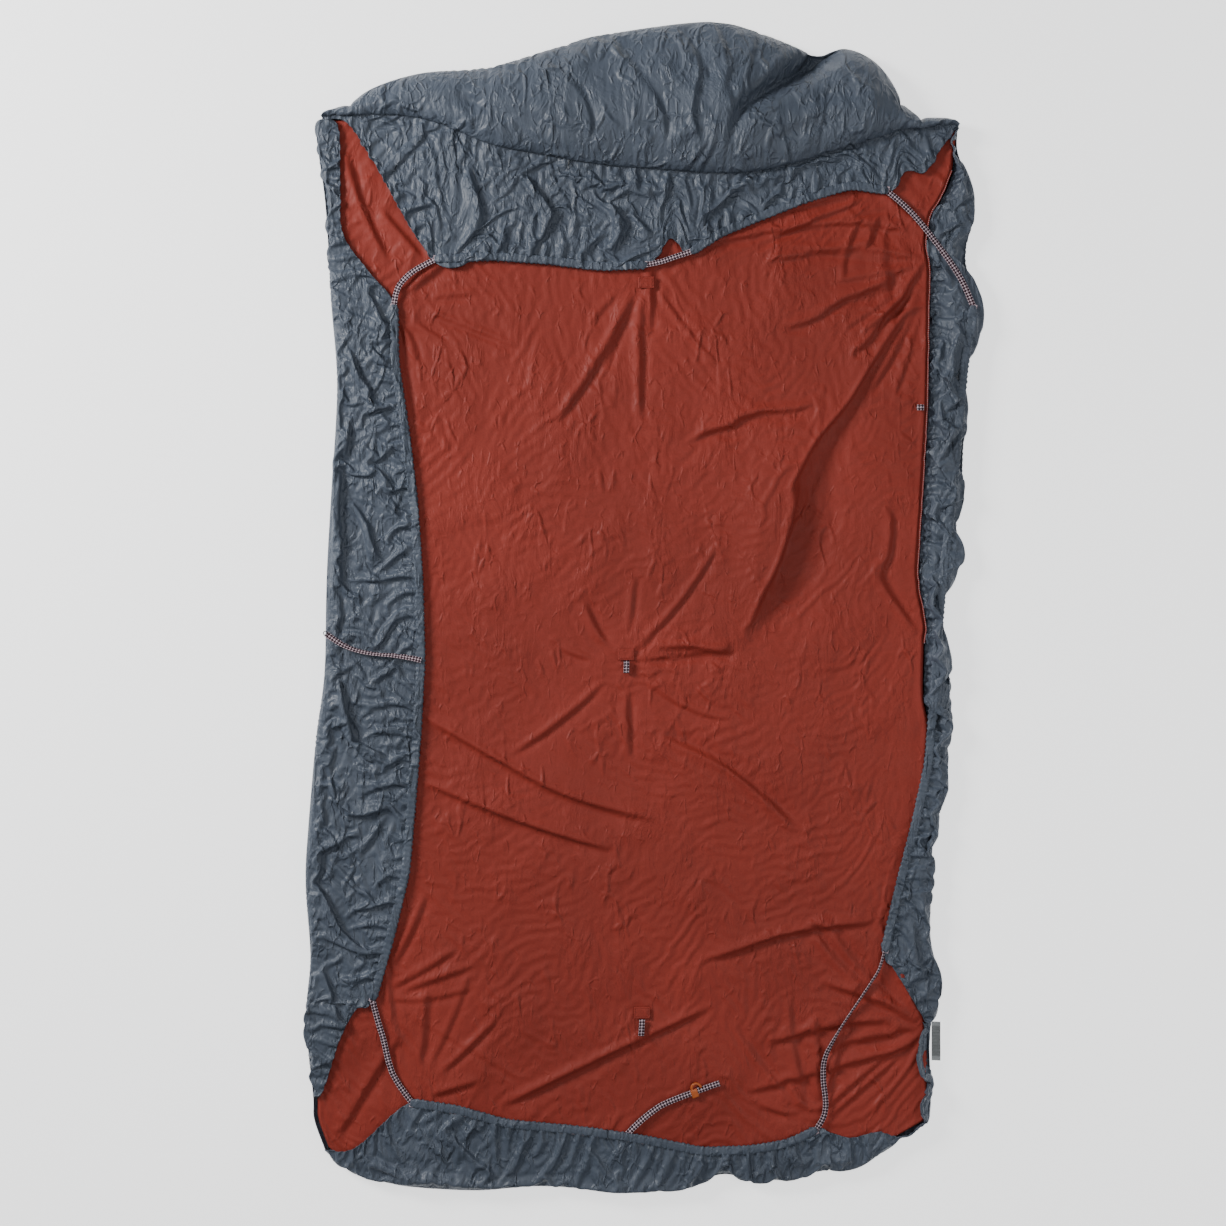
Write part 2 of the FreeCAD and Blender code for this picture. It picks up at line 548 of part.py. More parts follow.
tunnel = hook.newObject("PartDesign::SubtractiveBox", "hook_tunnel")
tunnel.Length = 2 * size("hook_sleeve_length")
tunnel.setExpression("Width", "sizes.tape_width + 2 * sizes.tape_clearance")
tunnel.setExpression("Height", "sizes.tape_thickness + 2 * sizes.tape_clearance")
tunnel_back = sleeve_back - size("hook_sleeve_length") / 2
tunnel.AttachmentOffset = FreeCAD.Placement(Vector(tunnel_back, -bore_width / 2, -bore_height / 2),
                                            FreeCAD.Rotation())
tunnel.AttachmentSupport = (origin_plane(hook, "XY_Plane"), [""])
tunnel.MapMode = "FlatFace"
hook.Tip = tunnel
hook.Placement = FreeCAD.Placement(Vector(hook_place.x, hook_place.y, tape_level),
                                   FreeCAD.Rotation(Vector(0, 0, 1), pull_turn))

# ---------------------------------------------------------------- care label
label = new_body("care_label")
label_plate = label.newObject("PartDesign::AdditiveBox", "label_plate")
label_plate.setExpression("Length", "sizes.label_width")
label_plate.setExpression("Width", "sizes.label_length")
label_plate.setExpression("Height", "sizes.label_thickness")
label_root = at(*LABEL_ROOT)
label_level = size("shell_thickness") + size("label_lift")
label.Placement = FreeCAD.Placement(
    Vector(label_root.x + size("label_clearance"), label_root.y - size("label_length") / 2, label_level),
    FreeCAD.Rotation())

# ---------------------------------------------------------------- checks and export
NODES = ["outer_shell", "insulation_batt", "lining_panel", "head_baffle_shell", "head_baffle_fill",
         "head_flap", "left_flap", "right_flap", "foot_flap", "right_edge_piping", "head_patch",
         "centre_patch", "foot_patch", "centre_tie_loop", "foot_tie_loop", "edge_tie_loop", "pull_hook",
         "care_label", "left_side_elastic"]
NODES += list(HEMS) + list(ELASTICS.values()) + list(FREE_ROUTES)

doc.recompute()
failed = [o.Label for o in doc.Objects if "Invalid" in o.State or "Error" in o.State]
if failed:
    raise ValueError("failed features: %s" % failed)
for name in NODES:
    shape = doc.getObjectsByLabel(name)[0].Shape
    if shape.isNull() or not shape.isValid() or not shape.Solids:
        raise ValueError("%s has no valid solid" % name)

os.makedirs("parts", exist_ok=True)
for name in NODES:
    shape = doc.getObjectsByLabel(name)[0].Shape
    shape.exportStep("parts/%s.step" % name)
    box = shape.BoundBox
    print("%-24s solids %d  volume %10.0f  x %7.1f %7.1f  y %7.1f %7.1f  z %5.1f %5.1f" % (
        name, len(shape.Solids), shape.Volume, box.XMin, box.XMax, box.YMin, box.YMax, box.ZMin, box.ZMax))
print("nodes", len(NODES))
print("loop level %.2f, tape level %.2f, hook at %.2f %.2f turn %.2f" % (
    loop_level, tape_level, hook_place.x, hook_place.y, pull_turn))
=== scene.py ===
"""Camp quilt lying open, lining up: the quilted body, the gathered flaps, the puffed head end, the flat
elastics and the small sewn and moulded parts.

Lengths are in metres in the row frame. Point lists are in millimetres on the nominal outline, and plan()
turns them into metres at the CAD model's own width and length.
"""

import math

import bpy
import numpy as np
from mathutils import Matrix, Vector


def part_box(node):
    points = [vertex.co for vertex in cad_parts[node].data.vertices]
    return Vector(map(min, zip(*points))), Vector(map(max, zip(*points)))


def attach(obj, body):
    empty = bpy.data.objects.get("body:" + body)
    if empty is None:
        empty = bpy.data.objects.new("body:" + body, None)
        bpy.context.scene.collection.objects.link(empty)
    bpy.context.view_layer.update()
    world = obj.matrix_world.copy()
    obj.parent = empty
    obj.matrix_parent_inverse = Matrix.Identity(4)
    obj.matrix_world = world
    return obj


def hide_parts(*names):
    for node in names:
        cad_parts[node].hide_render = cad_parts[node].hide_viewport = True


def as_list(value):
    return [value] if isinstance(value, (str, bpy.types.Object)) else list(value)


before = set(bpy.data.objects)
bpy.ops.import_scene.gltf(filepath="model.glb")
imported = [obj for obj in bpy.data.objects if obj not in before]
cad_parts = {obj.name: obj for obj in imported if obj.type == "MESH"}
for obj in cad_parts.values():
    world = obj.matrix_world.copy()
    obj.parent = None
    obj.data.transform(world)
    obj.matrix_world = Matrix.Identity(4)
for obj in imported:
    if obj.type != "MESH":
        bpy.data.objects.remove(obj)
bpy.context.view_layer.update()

bl_info = {
    "name": "Camp quilt",
    "version": (1, 0, 0),
    "blender": (4, 5, 0),
    "location": "3D View > Sidebar > Camp quilt",
    "description": "Builds the looks of a camp quilt around its CAD model",
    "category": "Object",
}

MM = 0.001
NOMINAL_BOX = (1185.5 * MM, 2040.6 * MM)
SHELL_LOW, SHELL_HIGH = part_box("outer_shell")
X_SCALE = (SHELL_HIGH.x - SHELL_LOW.x) / NOMINAL_BOX[0]
Y_SCALE = (SHELL_HIGH.y - SHELL_LOW.y) / NOMINAL_BOX[1]
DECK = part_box("lining_panel")[1].z
PULL_LOW, PULL_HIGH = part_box("foot_pull_elastic")
SIDE_LOW, SIDE_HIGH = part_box("left_side_elastic")
TAPE_LEVEL = (PULL_LOW.z + PULL_HIGH.z) / 2
SIDE_TAPE_LEVEL = (SIDE_LOW.z + SIDE_HIGH.z) / 2
TAPE_WIDTH = 10 * MM
TAPE_THICKNESS = PULL_HIGH.z - PULL_LOW.z
CLOTH_WEIGHT = (0, 0, -0.000004)
PUFF_PUSH = 0.000006
TINY = 1e-9

# ------------------------------------------------------------------ outlines, in millimetres (x, y)
LEFT_EDGE = [(-560, 857), (-571, 835), (-566, 785), (-555, 700), (-545, 540), (-534, 390), (-543, 220),
             (-552, 60), (-556, -110), (-571, -230), (-584, -380), (-589, -480), (-581, -610), (-589, -720),
             (-577, -850)]
CORNER_EDGE = [(-577, -850), (-575, -892), (-556, -946)]
FOOT_EDGE = [(-556, -946), (-520, -975), (-430, -1006), (-295, -1016), (-180, -1009), (-48, -1016),
             (67, -1011), (140, -989), (206, -1000), (311, -983), (381, -969), (460, -921), (500, -895)]
RIGHT_EDGE = [(500, -895), (505, -843), (503, -795), (502, -728), (513, -698), (519, -648), (503, -568),
              (508, -447), (502, -416), (526, -300), (538, -148), (526, -5), (545, 60), (559, 90), (549, 143),
              (558, 220), (566, 400), (582, 468), (592, 520), (568, 590), (566, 630), (577, 685), (568, 750),
              (551, 800), (552, 843)]
HEAD_EDGE = [(552, 843), (487, 850), (447, 874), (430, 913), (398, 953), (346, 976), (300, 966), (206, 998),
             (144, 1016), (66, 1014), (-74, 995), (-144, 974), (-267, 939), (-389, 927), (-468, 902),
             (-505, 876), (-560, 857)]
RIDGE = [(-560, 857), (-480, 860), (-410, 857), (-353, 844), (-258, 808), (-179, 792), (-74, 774), (15, 767),
         (148, 759), (239, 771), (328, 797), (412, 822), (461, 836), (552, 843)]
LINING_RIGHT = [(500, -895), (499, -818), (493, -700), (480, -560), (484, -420), (497, -258), (500, -204),
                (491, -151), (492, -60), (494, -25), (481, 50), (484, 130), (491, 234), (497, 354),
                (500, 529), (501, 592), (495, 636), (502, 685), (519, 713), (540, 762), (552, 843)]
LEFT_HEM = [(-433, 529), (-432, 430), (-414, 310), (-399, 190), (-390, 50), (-386, -85), (-393, -220),
            (-403, -345), (-413, -460), (-438, -565), (-471, -682)]
HEAD_HEM_LEFT = [(-363, 608), (-262, 613), (-165, 606), (-75, 595), (8, 598)]
HEAD_HEM_RIGHT = [(84, 620), (132, 652), (204, 682), (285, 714), (362, 737), (428, 727)]
RIGHT_HEM = [(576, 527), (560, 425), (549, 300), (538, 180), (523, 60), (513, -60), (506, -170), (498, -270),
             (474, -380), (447, -485), (421, -598)]
FOOT_HEM = [(-405, -860), (-325, -872), (-235, -897), (-120, -907), (-5, -923), (105, -945), (190, -942),
            (255, -931), (304, -906)]

# Free elastics: the route of each in millimetres, as the CAD model's.
TAPE_ROUTES = {
    "left_side": [(-551, -44), (-528, -61), (-497, -74), (-462, -80), (-422, -82), (-385, -90)],
    "head_left": [(-433, 526), (-431, 553), (-413, 577), (-388, 595), (-360, 608)],
    "head_right": [(425, 727), (453, 705), (484, 672), (513, 634), (540, 597), (562, 561), (576, 524)],
    "head_centre": [(5, 598), (29, 602), (53, 611), (87, 622)],
    "foot_left": [(-471, -679), (-463, -713), (-451, -750), (-443, -789), (-431, -822), (-402, -860)],
    "foot_right": [(421, -595), (416, -623), (398, -651), (378, -681), (355, -714), (334, -748), (315, -784),
                   (314, -822), (320, -862), (315, -890), (301, -908)],
    "foot_pull": [(-31, -919), (-12, -899), (14, -877), (44, -857), (134, -826)],
}


def plan(points):
    """Nominal millimetre points as metres at the model's own width and length."""
    return np.asarray(points, float) * (X_SCALE * MM, Y_SCALE * MM)


# ------------------------------------------------------------------ lines and grids
def evenly(line, count):
    """Points at equal steps of plan length along a polyline."""
    steps = np.linalg.norm(np.diff(line[:, :2], axis=0), axis=1)
    length = np.concatenate([[0], np.cumsum(steps)])
    where = np.linspace(0, length[-1], count)
    return np.stack([np.interp(where, length, line[:, i]) for i in range(line.shape[1])], 1)


def through(points, count):
    """A Catmull-Rom curve through the points, sampled at equal steps of its plan length."""
    p = np.asarray(points, float)
    q = np.vstack([2 * p[0] - p[1], p, 2 * p[-1] - p[-2]])
    t = np.linspace(0, len(p) - 1, 24 * len(p))
    k = np.minimum(t.astype(int), len(p) - 2)
    f = (t - k)[:, None]
    a, b, c, d = q[k], q[k + 1], q[k + 2], q[k + 3]
    fine = 0.5 * (2 * b + (c - a) * f + (2 * a - 5 * b + 4 * c - d) * f**2 + (3 * b - a - 3 * c + d) * f**3)
    return evenly(fine, count)


def patch(foot, head, left, right):
    """A Coons patch: the two ruled surfaces between opposite edges added, less the corners' bilinear one."""
    u = np.linspace(0, 1, len(foot))[None, :, None]
    v = np.linspace(0, 1, len(left))[:, None, None]
    across = (1 - u) * left[:, None] + u * right[:, None]
    along = (1 - v) * foot[None] + v * head[None]
    corners = ((1 - u) * (1 - v) * foot[0] + u * (1 - v) * foot[-1]
               + (1 - u) * v * head[0] + u * v * head[-1])
    return across + along - corners


def resampled(field, rows, columns):
    """A grid of values read between its points, by linear steps along each axis."""
    for axis, count in ((0, rows), (1, columns)):
        where = np.linspace(0, field.shape[axis] - 1, count)
        k = np.minimum(where.astype(int), field.shape[axis] - 2)
        f = (where - k).reshape([-1 if i == axis else 1 for i in range(field.ndim)])
        field = np.take(field, k, axis) * (1 - f) + np.take(field, k + 1, axis) * f
    return field


def eased(share):
    """Smoothstep: a share from 0 to 1 that leaves and arrives without a corner."""
    return share * share * (3 - 2 * share)


def wander(grid, cell, rng):
    """Smooth noise from -1 to 1 over the plan: random values on a square lattice, blended by smoothstep."""
    where = (grid[..., :2] - grid[..., :2].min((0, 1))) / cell
    k = where.astype(int)
    f = eased(where - k)
    value = rng.uniform(-1, 1, tuple(k.max((0, 1)) + 2))
    x, y = k[..., 0], k[..., 1]
    fx, fy = f[..., 0], f[..., 1]
    low = value[x, y] * (1 - fx) + value[x + 1, y] * fx
    high = value[x, y + 1] * (1 - fx) + value[x + 1, y + 1] * fx
    return low * (1 - fy) + high * fy


def beside(grid, line):
    """For each grid point: its plan distance to a polyline, its side (1 is right), and the share along."""
    start, end = line[:-1], line[1:]
    run = np.linalg.norm(end - start, axis=1)
    before = np.concatenate([[0], np.cumsum(run)])
    best = np.full(grid.shape[:2], np.inf)
    side = np.zeros(grid.shape[:2])
    share = np.zeros(grid.shape[:2])
    for a, b, length, done in zip(start, end, run, before):
        along = (b - a) / length
        offset = grid[..., :2] - a
        t = np.clip(offset @ along, 0, length)
        off = offset - t[..., None] * along
        distance = np.linalg.norm(off, axis=-1)
        nearer = distance < best
        best = np.where(nearer, distance, best)
        side = np.where(nearer, np.sign(off[..., 0] * along[1] - off[..., 1] * along[0]), side)
        share = np.where(nearer, (done + t) / before[-1], share)
    return best, side, share


# ------------------------------------------------------------------ cloth
def folds_over(grid, folds, ridge_rate, valley_rate):
    """Relief and slack that a list of folds gives a grid.

    A fold is a line of (x, y, half width) in millimetres, walked so that the foot or right side of the quilt
    is on its right. Left of the line the cloth rises slowly to a crest; right of it, it drops into a valley
    one half width away that fades out over three. Height and depth are shares of the half width. The slack is
    a tensor along the fold's normal, so cloth gathers across the fold and not along it.
    """
    relief = np.zeros(grid.shape[:2])
    slack = np.zeros(grid.shape[:2] + (3,))
    for fold in folds:
        line = through([(x * X_SCALE * MM, y * Y_SCALE * MM, w * MM) for x, y, w in fold], 9 * len(fold))
        if (line[-1] - line[0]) @ (0.6, 1, 0) < 0:
            line = line[::-1]
        reach = 7 * line[:, 2].max()
        low, high = line[:, :2].min(0) - reach, line[:, :2].max(0) + reach
        near_fold = ((grid[..., :2] > low) & (grid[..., :2] < high)).all(-1)
        if not near_fold.any():
            continue
        distance, side, share = (value[0] for value in beside(grid[near_fold][None], line[:, :2]))
        width = np.interp(share, np.linspace(0, 1, len(line)), line[:, 2])
        s = distance / width
        fade = eased(np.clip(np.minimum(share, 1 - share) * 6, 0, 1))
        crest = np.where(side > 0, np.exp(-s * s), np.exp(-(s / 2.5) ** 2))
        valley = np.where(side > 0, s * np.exp(1 - s), 0)
        relief[near_fold] += fade * width * (ridge_rate * crest - valley_rate * valley)
        run = line[-1, :2] - line[0, :2]
        normal = np.array([run[1], -run[0]]) / np.linalg.norm(run)
        near = fade * np.exp(-(s / 3) ** 2)
        slack[near_fold] += near[..., None] * (normal[0] ** 2, normal[0] * normal[1], normal[1] ** 2)
    return relief, slack


def fan(centre, first, last, count, rng, reach=(90, 320), width=(2.5, 6.5)):
    """Small folds that spread from a point where the cloth is pulled, as bent lines between two bearings."""
    folds = []
    for bearing in np.radians(np.linspace(first, last, count) + rng.normal(0, 6, count)):
        start, end = rng.uniform(15, 70), rng.uniform(*reach)
        bend, wide = rng.normal(0, 0.12), rng.uniform(*width)
        steps = np.linspace(0, 1, 4)
        angle = bearing + bend * steps
        away = start + (end - start) * steps
        folds.append([(centre[0] + r * math.cos(a), centre[1] + r * math.sin(a), wide * w)
                      for r, a, w in zip(away, angle, (0.6, 1.0, 1.0, 0.6))])
    return folds


def paired(grid, down, right):
    """Views of a grid's points and of those a step down and right of them."""
    rows, columns = grid.shape[:2]
    first, last = max(0, -right), columns - max(0, right)
    return grid[:rows - down, first:last], grid[down:, first + right:last + right]


# A cloth's links, as (steps down and right to the neighbour, stiffness), and its bends over two steps.
LINKS = [((0, 1), 1.0), ((1, 0), 1.0), ((1, 1), 0.6), ((1, -1), 0.6)]
BENDS = [(0, 2), (2, 0)]


def own_lengths(shape, slack, step):
    """The cloth's own length between points a step apart: the shape's, plus its slack in that direction."""
    a, b = paired(shape, *step)
    e, f = paired(slack, *step)
    d = b - a
    t = (e + f) / 2
    x, y = d[..., 0], d[..., 1]
    extra = (t[..., 0] * x * x + 2 * t[..., 1] * x * y + t[..., 2] * y * y) / (x * x + y * y + TINY)
    return np.linalg.norm(d, axis=-1) * (1 + extra)


def batches(points, free, step, *values):
    """The links of one step in sets where no point comes twice, with each end's share of a move."""
    axis = 0 if step[0] else 1
    stride = 2 * max(abs(step[0]), abs(step[1])) if step[0] != 1 else 2
    a, b = paired(points, *step)
    free_a, free_b = paired(free, *step)
    total = np.maximum(free_a + free_b, 0.5)
    share_a, share_b = free_a / total, free_b / total
    for k in range(stride):
        cut = (slice(k, None, stride), slice(None)) if axis == 0 else (slice(None), slice(k, None, stride))
        shares = (share_a[cut][..., None], share_b[cut][..., None])
        yield (a[cut], b[cut], *shares, *(value[cut] for value in values))


def relax(a, b, share_a, share_b, own, stiffness, only_opens=False):
    """Moves the two ends of each link so that it nears its own length; a bend only opens and never closes."""
    d = b - a
    length = np.sqrt((d * d).sum(-1))
    error = 1 - own / np.maximum(length, TINY)
    if only_opens:
        error = np.minimum(error, 0)
    d *= (stiffness * error)[..., None]
    a += d * share_a
    b -= d * share_b


def settle(points, shape, slack, free, floor, push, steps, bend, hold):
    """Lets a cloth find its rest: each step moves the points on, adds the push, draws them a little towards
    the soft shape under them, restores every link's own length by moving its two ends, opens bends that are
    too sharp, and lifts points that are under the floor."""
    links = [(batch, stiffness) for step, stiffness in LINKS
             for batch in batches(points, free, step, own_lengths(shape, slack, step))]
    bends = [batch for step in BENDS
             for batch in batches(points, free, step, own_lengths(shape, slack, step))]
    before = points.copy()
    moving = free[..., None]
    for _ in range(steps):
        speed = (points - before) * (0.92 * moving)
        touching = points[..., 2] <= floor + TINY
        speed[touching, :2] *= 0.5
        before[:] = points
        points += speed + push * moving
        points[..., 2] -= hold * free * (points[..., 2] - shape[..., 2])
        for batch, stiffness in links:
            relax(*batch, stiffness)
        for batch in bends:
            relax(*batch, bend, only_opens=True)
        points[..., 2] = np.maximum(points[..., 2], floor)
    return points


def drape(shape_at, slack_at, floor_at, pins_at, levels, rng, push=CLOTH_WEIGHT, bend=0.15, lively=0.0006,
          hold=0.0):
    """A cloth settled on grids of growing fineness, each starting from the one before.

    shape_at gives the smooth shape for (rows, columns), slack_at, floor_at and pins_at the fields over it,
    and levels the (rows, columns, steps, share of the slack) of each grid."""
    moved = None
    for rows, columns, steps, share in levels:
        shape = shape_at(rows, columns)
        free = 1.0 - pins_at(shape)
        start = shape.copy()
        if moved is not None:
            start += resampled(moved, rows, columns) * free[..., None]
        start[..., 2] += rng.normal(0, lively, shape.shape[:2]) * free
        amount = push(start) if callable(push) else np.array(push)
        settled = settle(start, shape, slack_at(shape) * share, free, floor_at(shape), amount,
                         steps, bend, hold)
        moved = settled - shape
    return settled


def smoothed(points, passes, share):
    """Each inner point moved a share of the way to the mean of its four neighbours, several times over."""
    for _ in range(passes):
        middle = (points[:-2, 1:-1] + points[2:, 1:-1] + points[1:-1, :-2] + points[1:-1, 2:]) / 4
        points[1:-1, 1:-1] += share * (middle - points[1:-1, 1:-1])
    return points


def pressed(points, lines, level, reach):
    """The points kept under a level near some lines; the limit rises smoothly beyond the reach."""
    for line in lines:
        distance = beside(points, line)[0]
        limit = level + np.maximum(distance - reach, 0) * 0.5
        points[..., 2] = np.minimum(points[..., 2], limit)
    return points


# ------------------------------------------------------------------ meshes
def grid_faces(rows, columns):
    index = np.arange(rows * columns).reshape(rows, columns)
    return np.stack([index[:-1, :-1], index[:-1, 1:], index[1:, 1:], index[1:, :-1]], -1).reshape(-1, 4)


def add_mesh(name, points, quads, caps=(), uv=None):
    """A smooth-shaded mesh from points, four-sided faces and any larger caps, linked and named."""
    points = np.asarray(points, np.float32).reshape(-1, 3)
    mesh = bpy.data.meshes.new(name)
    sizes = np.concatenate([np.full(len(quads), 4), [len(cap) for cap in caps]]).astype(np.int32)
    corners = np.concatenate([np.asarray(quads).ravel(), *[np.asarray(cap) for cap in caps]]).astype(np.int32)
    mesh.vertices.add(len(points))
    mesh.vertices.foreach_set("co", points.ravel())
    mesh.loops.add(len(corners))
    mesh.loops.foreach_set("vertex_index", corners)
    mesh.polygons.add(len(sizes))
    mesh.polygons.foreach_set("loop_start", np.concatenate([[0], np.cumsum(sizes)[:-1]]).astype(np.int32))
    mesh.update(calc_edges=True)
    mesh.polygons.foreach_set("use_smooth", np.ones(len(sizes), bool))
    if uv is not None:
        layer = mesh.uv_layers.new(name="along")
        layer.data.foreach_set("uv", np.asarray(uv, np.float32).reshape(-1, 2)[corners].ravel())
    mesh.validate()
    obj = bpy.data.objects.new(name, mesh)
    bpy.context.scene.collection.objects.link(obj)
    return obj


def tube_faces(rings, count):
    """Four-sided faces of a tube made of rings of points, and its two end caps."""
    index = np.arange(rings * count).reshape(rings, count)
    after = np.roll(index, -1, 1)
    quads = np.stack([index[:-1], index[1:], after[1:], after[:-1]], -1).reshape(-1, 4)
    return quads, [index[0], index[-1][::-1]]


def perimeter(grid):
    """Indices of a grid's outer points, once round from the first corner."""
    index = np.arange(grid.shape[0] * grid.shape[1]).reshape(grid.shape[:2])
    return np.concatenate([index[0], index[1:, -1], index[-1, -2::-1], index[-2:0:-1, 0]])


def inset(loop, distance):
    """A closed loop of points moved inward in plan, along the mean normal of its two edges."""
    along = np.roll(loop, -1, 0) - np.roll(loop, 1, 0)
    normal = np.stack([-along[:, 1], along[:, 0]], 1)
    normal /= np.linalg.norm(normal, axis=1, keepdims=True) + TINY
    moved = loop.copy()
    moved[:, :2] += normal * distance
    return moved


def patch_inside(foot, head, left, right, distance):
    """The Coons patch of four edges moved inward first, each by its own distance: foot, right, head, left."""
    columns, rows = len(foot), len(left)
    move = np.repeat(distance, (columns - 1, rows - 1, columns - 1, rows - 1))
    near = max(3, rows // 30)
    move = sum(np.roll(move, k) for k in range(-near, near + 1)) / (2 * near + 1)
    loop = inset(np.concatenate([foot[:-1], right[:-1], head[:0:-1], left[:0:-1]]), move[:, None])
    corners = np.cumsum([0, columns - 1, rows - 1, columns - 1, rows - 1])
    loop = np.concatenate([loop, loop[:1]])
    sides = [loop[a:b + 1] for a, b in zip(corners[:-1], corners[1:])]
    return patch(sides[0], sides[2][::-1], sides[3][::-1], sides[1])


def closed_sheet(name, grid, rings, upward):
    """A grid closed into a solid by rings of points below or above its edge and one flat cap.

    Each ring is (inset, level) measured from the grid's own edge; upward is whether the grid is the top."""
    edge = perimeter(grid)
    flat = grid.reshape(-1, 3)
    points, quads = [flat], [grid_faces(*grid.shape[:2])]
    last, count = edge, len(flat)
    for distance, level in rings:
        ring = inset(flat[edge], distance)
        ring[:, 2] = level
        fresh = np.arange(count, count + len(edge))
        quads.append(np.stack([last, fresh, np.roll(fresh, -1), np.roll(last, -1)], 1))
        points.append(ring)
        last, count = fresh, count + len(edge)
    quads = np.concatenate(quads)
    cap = last[::-1]
    if not upward:
        quads, cap = quads[:, ::-1], last
    return add_mesh(name, np.concatenate(points), quads, [cap])


def add_cloth(name, grid, thickness):
    """A grid as cloth of a real thickness: faces turned upward, then a Solidify below them."""
    quads = grid_faces(*grid.shape[:2])
    flat = grid.reshape(-1, 3)
    first, second = flat[quads[:, 2]] - flat[quads[:, 0]], flat[quads[:, 3]] - flat[quads[:, 1]]
    if np.cross(first, second)[:, 2].sum() < 0:
        quads = quads[:, ::-1]
    obj = add_mesh(name, grid, quads)
    solid = obj.modifiers.new("cloth", "SOLIDIFY")
    solid.thickness = thickness
    solid.offset = -1
    return obj


def swept(name, line, section, roll=None, puff=None, across=None):
    """A section carried along a line in space, level across except for its roll, with closed ends.

    section is (points, 2) across and up; roll an angle at each line point; puff a factor on the section
    there; across a fixed direction for a line that turns over itself."""
    line = np.asarray(line, float)
    along = np.gradient(line, axis=0)
    along /= np.linalg.norm(along, axis=1, keepdims=True) + TINY
    across = np.cross(along, (0, 0, 1.0)) if across is None else np.broadcast_to(across, line.shape)
    across = across / (np.linalg.norm(across, axis=1, keepdims=True) + TINY)
    up = np.cross(across, along)
    roll = np.zeros(len(line)) if roll is None else roll
    c, s = np.cos(roll)[:, None], np.sin(roll)[:, None]
    turned_across, turned_up = across * c + up * s, up * c - across * s
    size = np.ones(len(line)) if puff is None else puff
    ring = (line[:, None] + size.reshape(len(line), -1, 1) * (section[None, :, :1] * turned_across[:, None]
                                                              + section[None, :, 1:] * turned_up[:, None]))
    quads, ends = tube_faces(*ring.shape[:2])
    length = np.concatenate([[0], np.cumsum(np.linalg.norm(np.diff(line, axis=0), axis=1))])
    uv = np.stack(np.broadcast_arrays(section[None, :, 0], length[:, None]), -1)
    return add_mesh(name, ring, quads, ends, uv)


def oval(width, height, count, power=2.0):
    """A superellipse section: cosine and sine each raised to two over the power, sign kept."""
    t = np.linspace(0, 2 * math.pi, count, endpoint=False)
    c, s = np.cos(t), np.sin(t)
    return np.stack([np.sign(c) * np.abs(c) ** (2 / power) * width / 2,
                     np.sign(s) * np.abs(s) ** (2 / power) * height / 2], 1)


# ------------------------------------------------------------------ node materials
def new_material(name):
    material = bpy.data.materials.new(name)
    material.use_nodes = True
    tree = material.node_tree
    tree.nodes.clear()
    shader = tree.nodes.new("ShaderNodeBsdfPrincipled")
    output = tree.nodes.new("ShaderNodeOutputMaterial")
    tree.links.new(shader.outputs["BSDF"], output.inputs["Surface"])
    return material, tree, shader


def feed(tree, node, inputs):
    """Each input either set or linked from another node's socket."""
    for key, value in inputs.items():
        if isinstance(value, bpy.types.NodeSocket):
            tree.links.new(value, node.inputs[key])
        else:
            node.inputs[key].default_value = value


def add_node(tree, kind, inputs=None, **settings):
    made = tree.nodes.new(kind)
    for key, value in settings.items():
        setattr(made, key, value)
    feed(tree, made, inputs or {})
    return made


def maths(tree, operation, first, second=0.0, third=0.0):
    return add_node(tree, "ShaderNodeMath", {0: first, 1: second, 2: third}, operation=operation).outputs[0]


def ramp(tree, value, low, high, from_low=0.0, from_high=1.0):
    inputs = {"Value": value, "From Min": from_low, "From Max": from_high, "To Min": low, "To Max": high}
    return add_node(tree, "ShaderNodeMapRange", inputs, interpolation_type="SMOOTHSTEP").outputs[0]


def noise(tree, where, scale, detail=2.0, roughness=0.5, distortion=0.0):
    inputs = {"Vector": where, "Scale": scale, "Detail": detail, "Roughness": roughness,
              "Distortion": distortion}
    return add_node(tree, "ShaderNodeTexNoise", inputs).outputs["Fac"]


def object_coords(tree, scale=(1, 1, 1), turn=(0, 0, 0)):
    source = add_node(tree, "ShaderNodeTexCoord").outputs["Object"]
    inputs = {"Vector": source, "Scale": scale, "Rotation": turn}
    return add_node(tree, "ShaderNodeMapping", inputs).outputs[0]


def mixed(tree, share, first, second):
    made = add_node(tree, "ShaderNodeMix", {"Factor": share}, data_type="RGBA")
    for index, value in ((6, first), (7, second)):
        if isinstance(value, bpy.types.NodeSocket):
            tree.links.new(value, made.inputs[index])
        else:
            made.inputs[index].default_value = (*value[:3], 1)
    return made.outputs[2]


def bump(tree, height, distance, strength=1.0, normal=None):
    inputs = {"Height": height, "Distance": distance, "Strength": strength}
    if normal is not None:
        inputs["Normal"] = normal
    return add_node(tree, "ShaderNodeBump", inputs).outputs["Normal"]


def shade(colour, factor):
    return tuple(min(1.0, c * factor) for c in colour[:3])


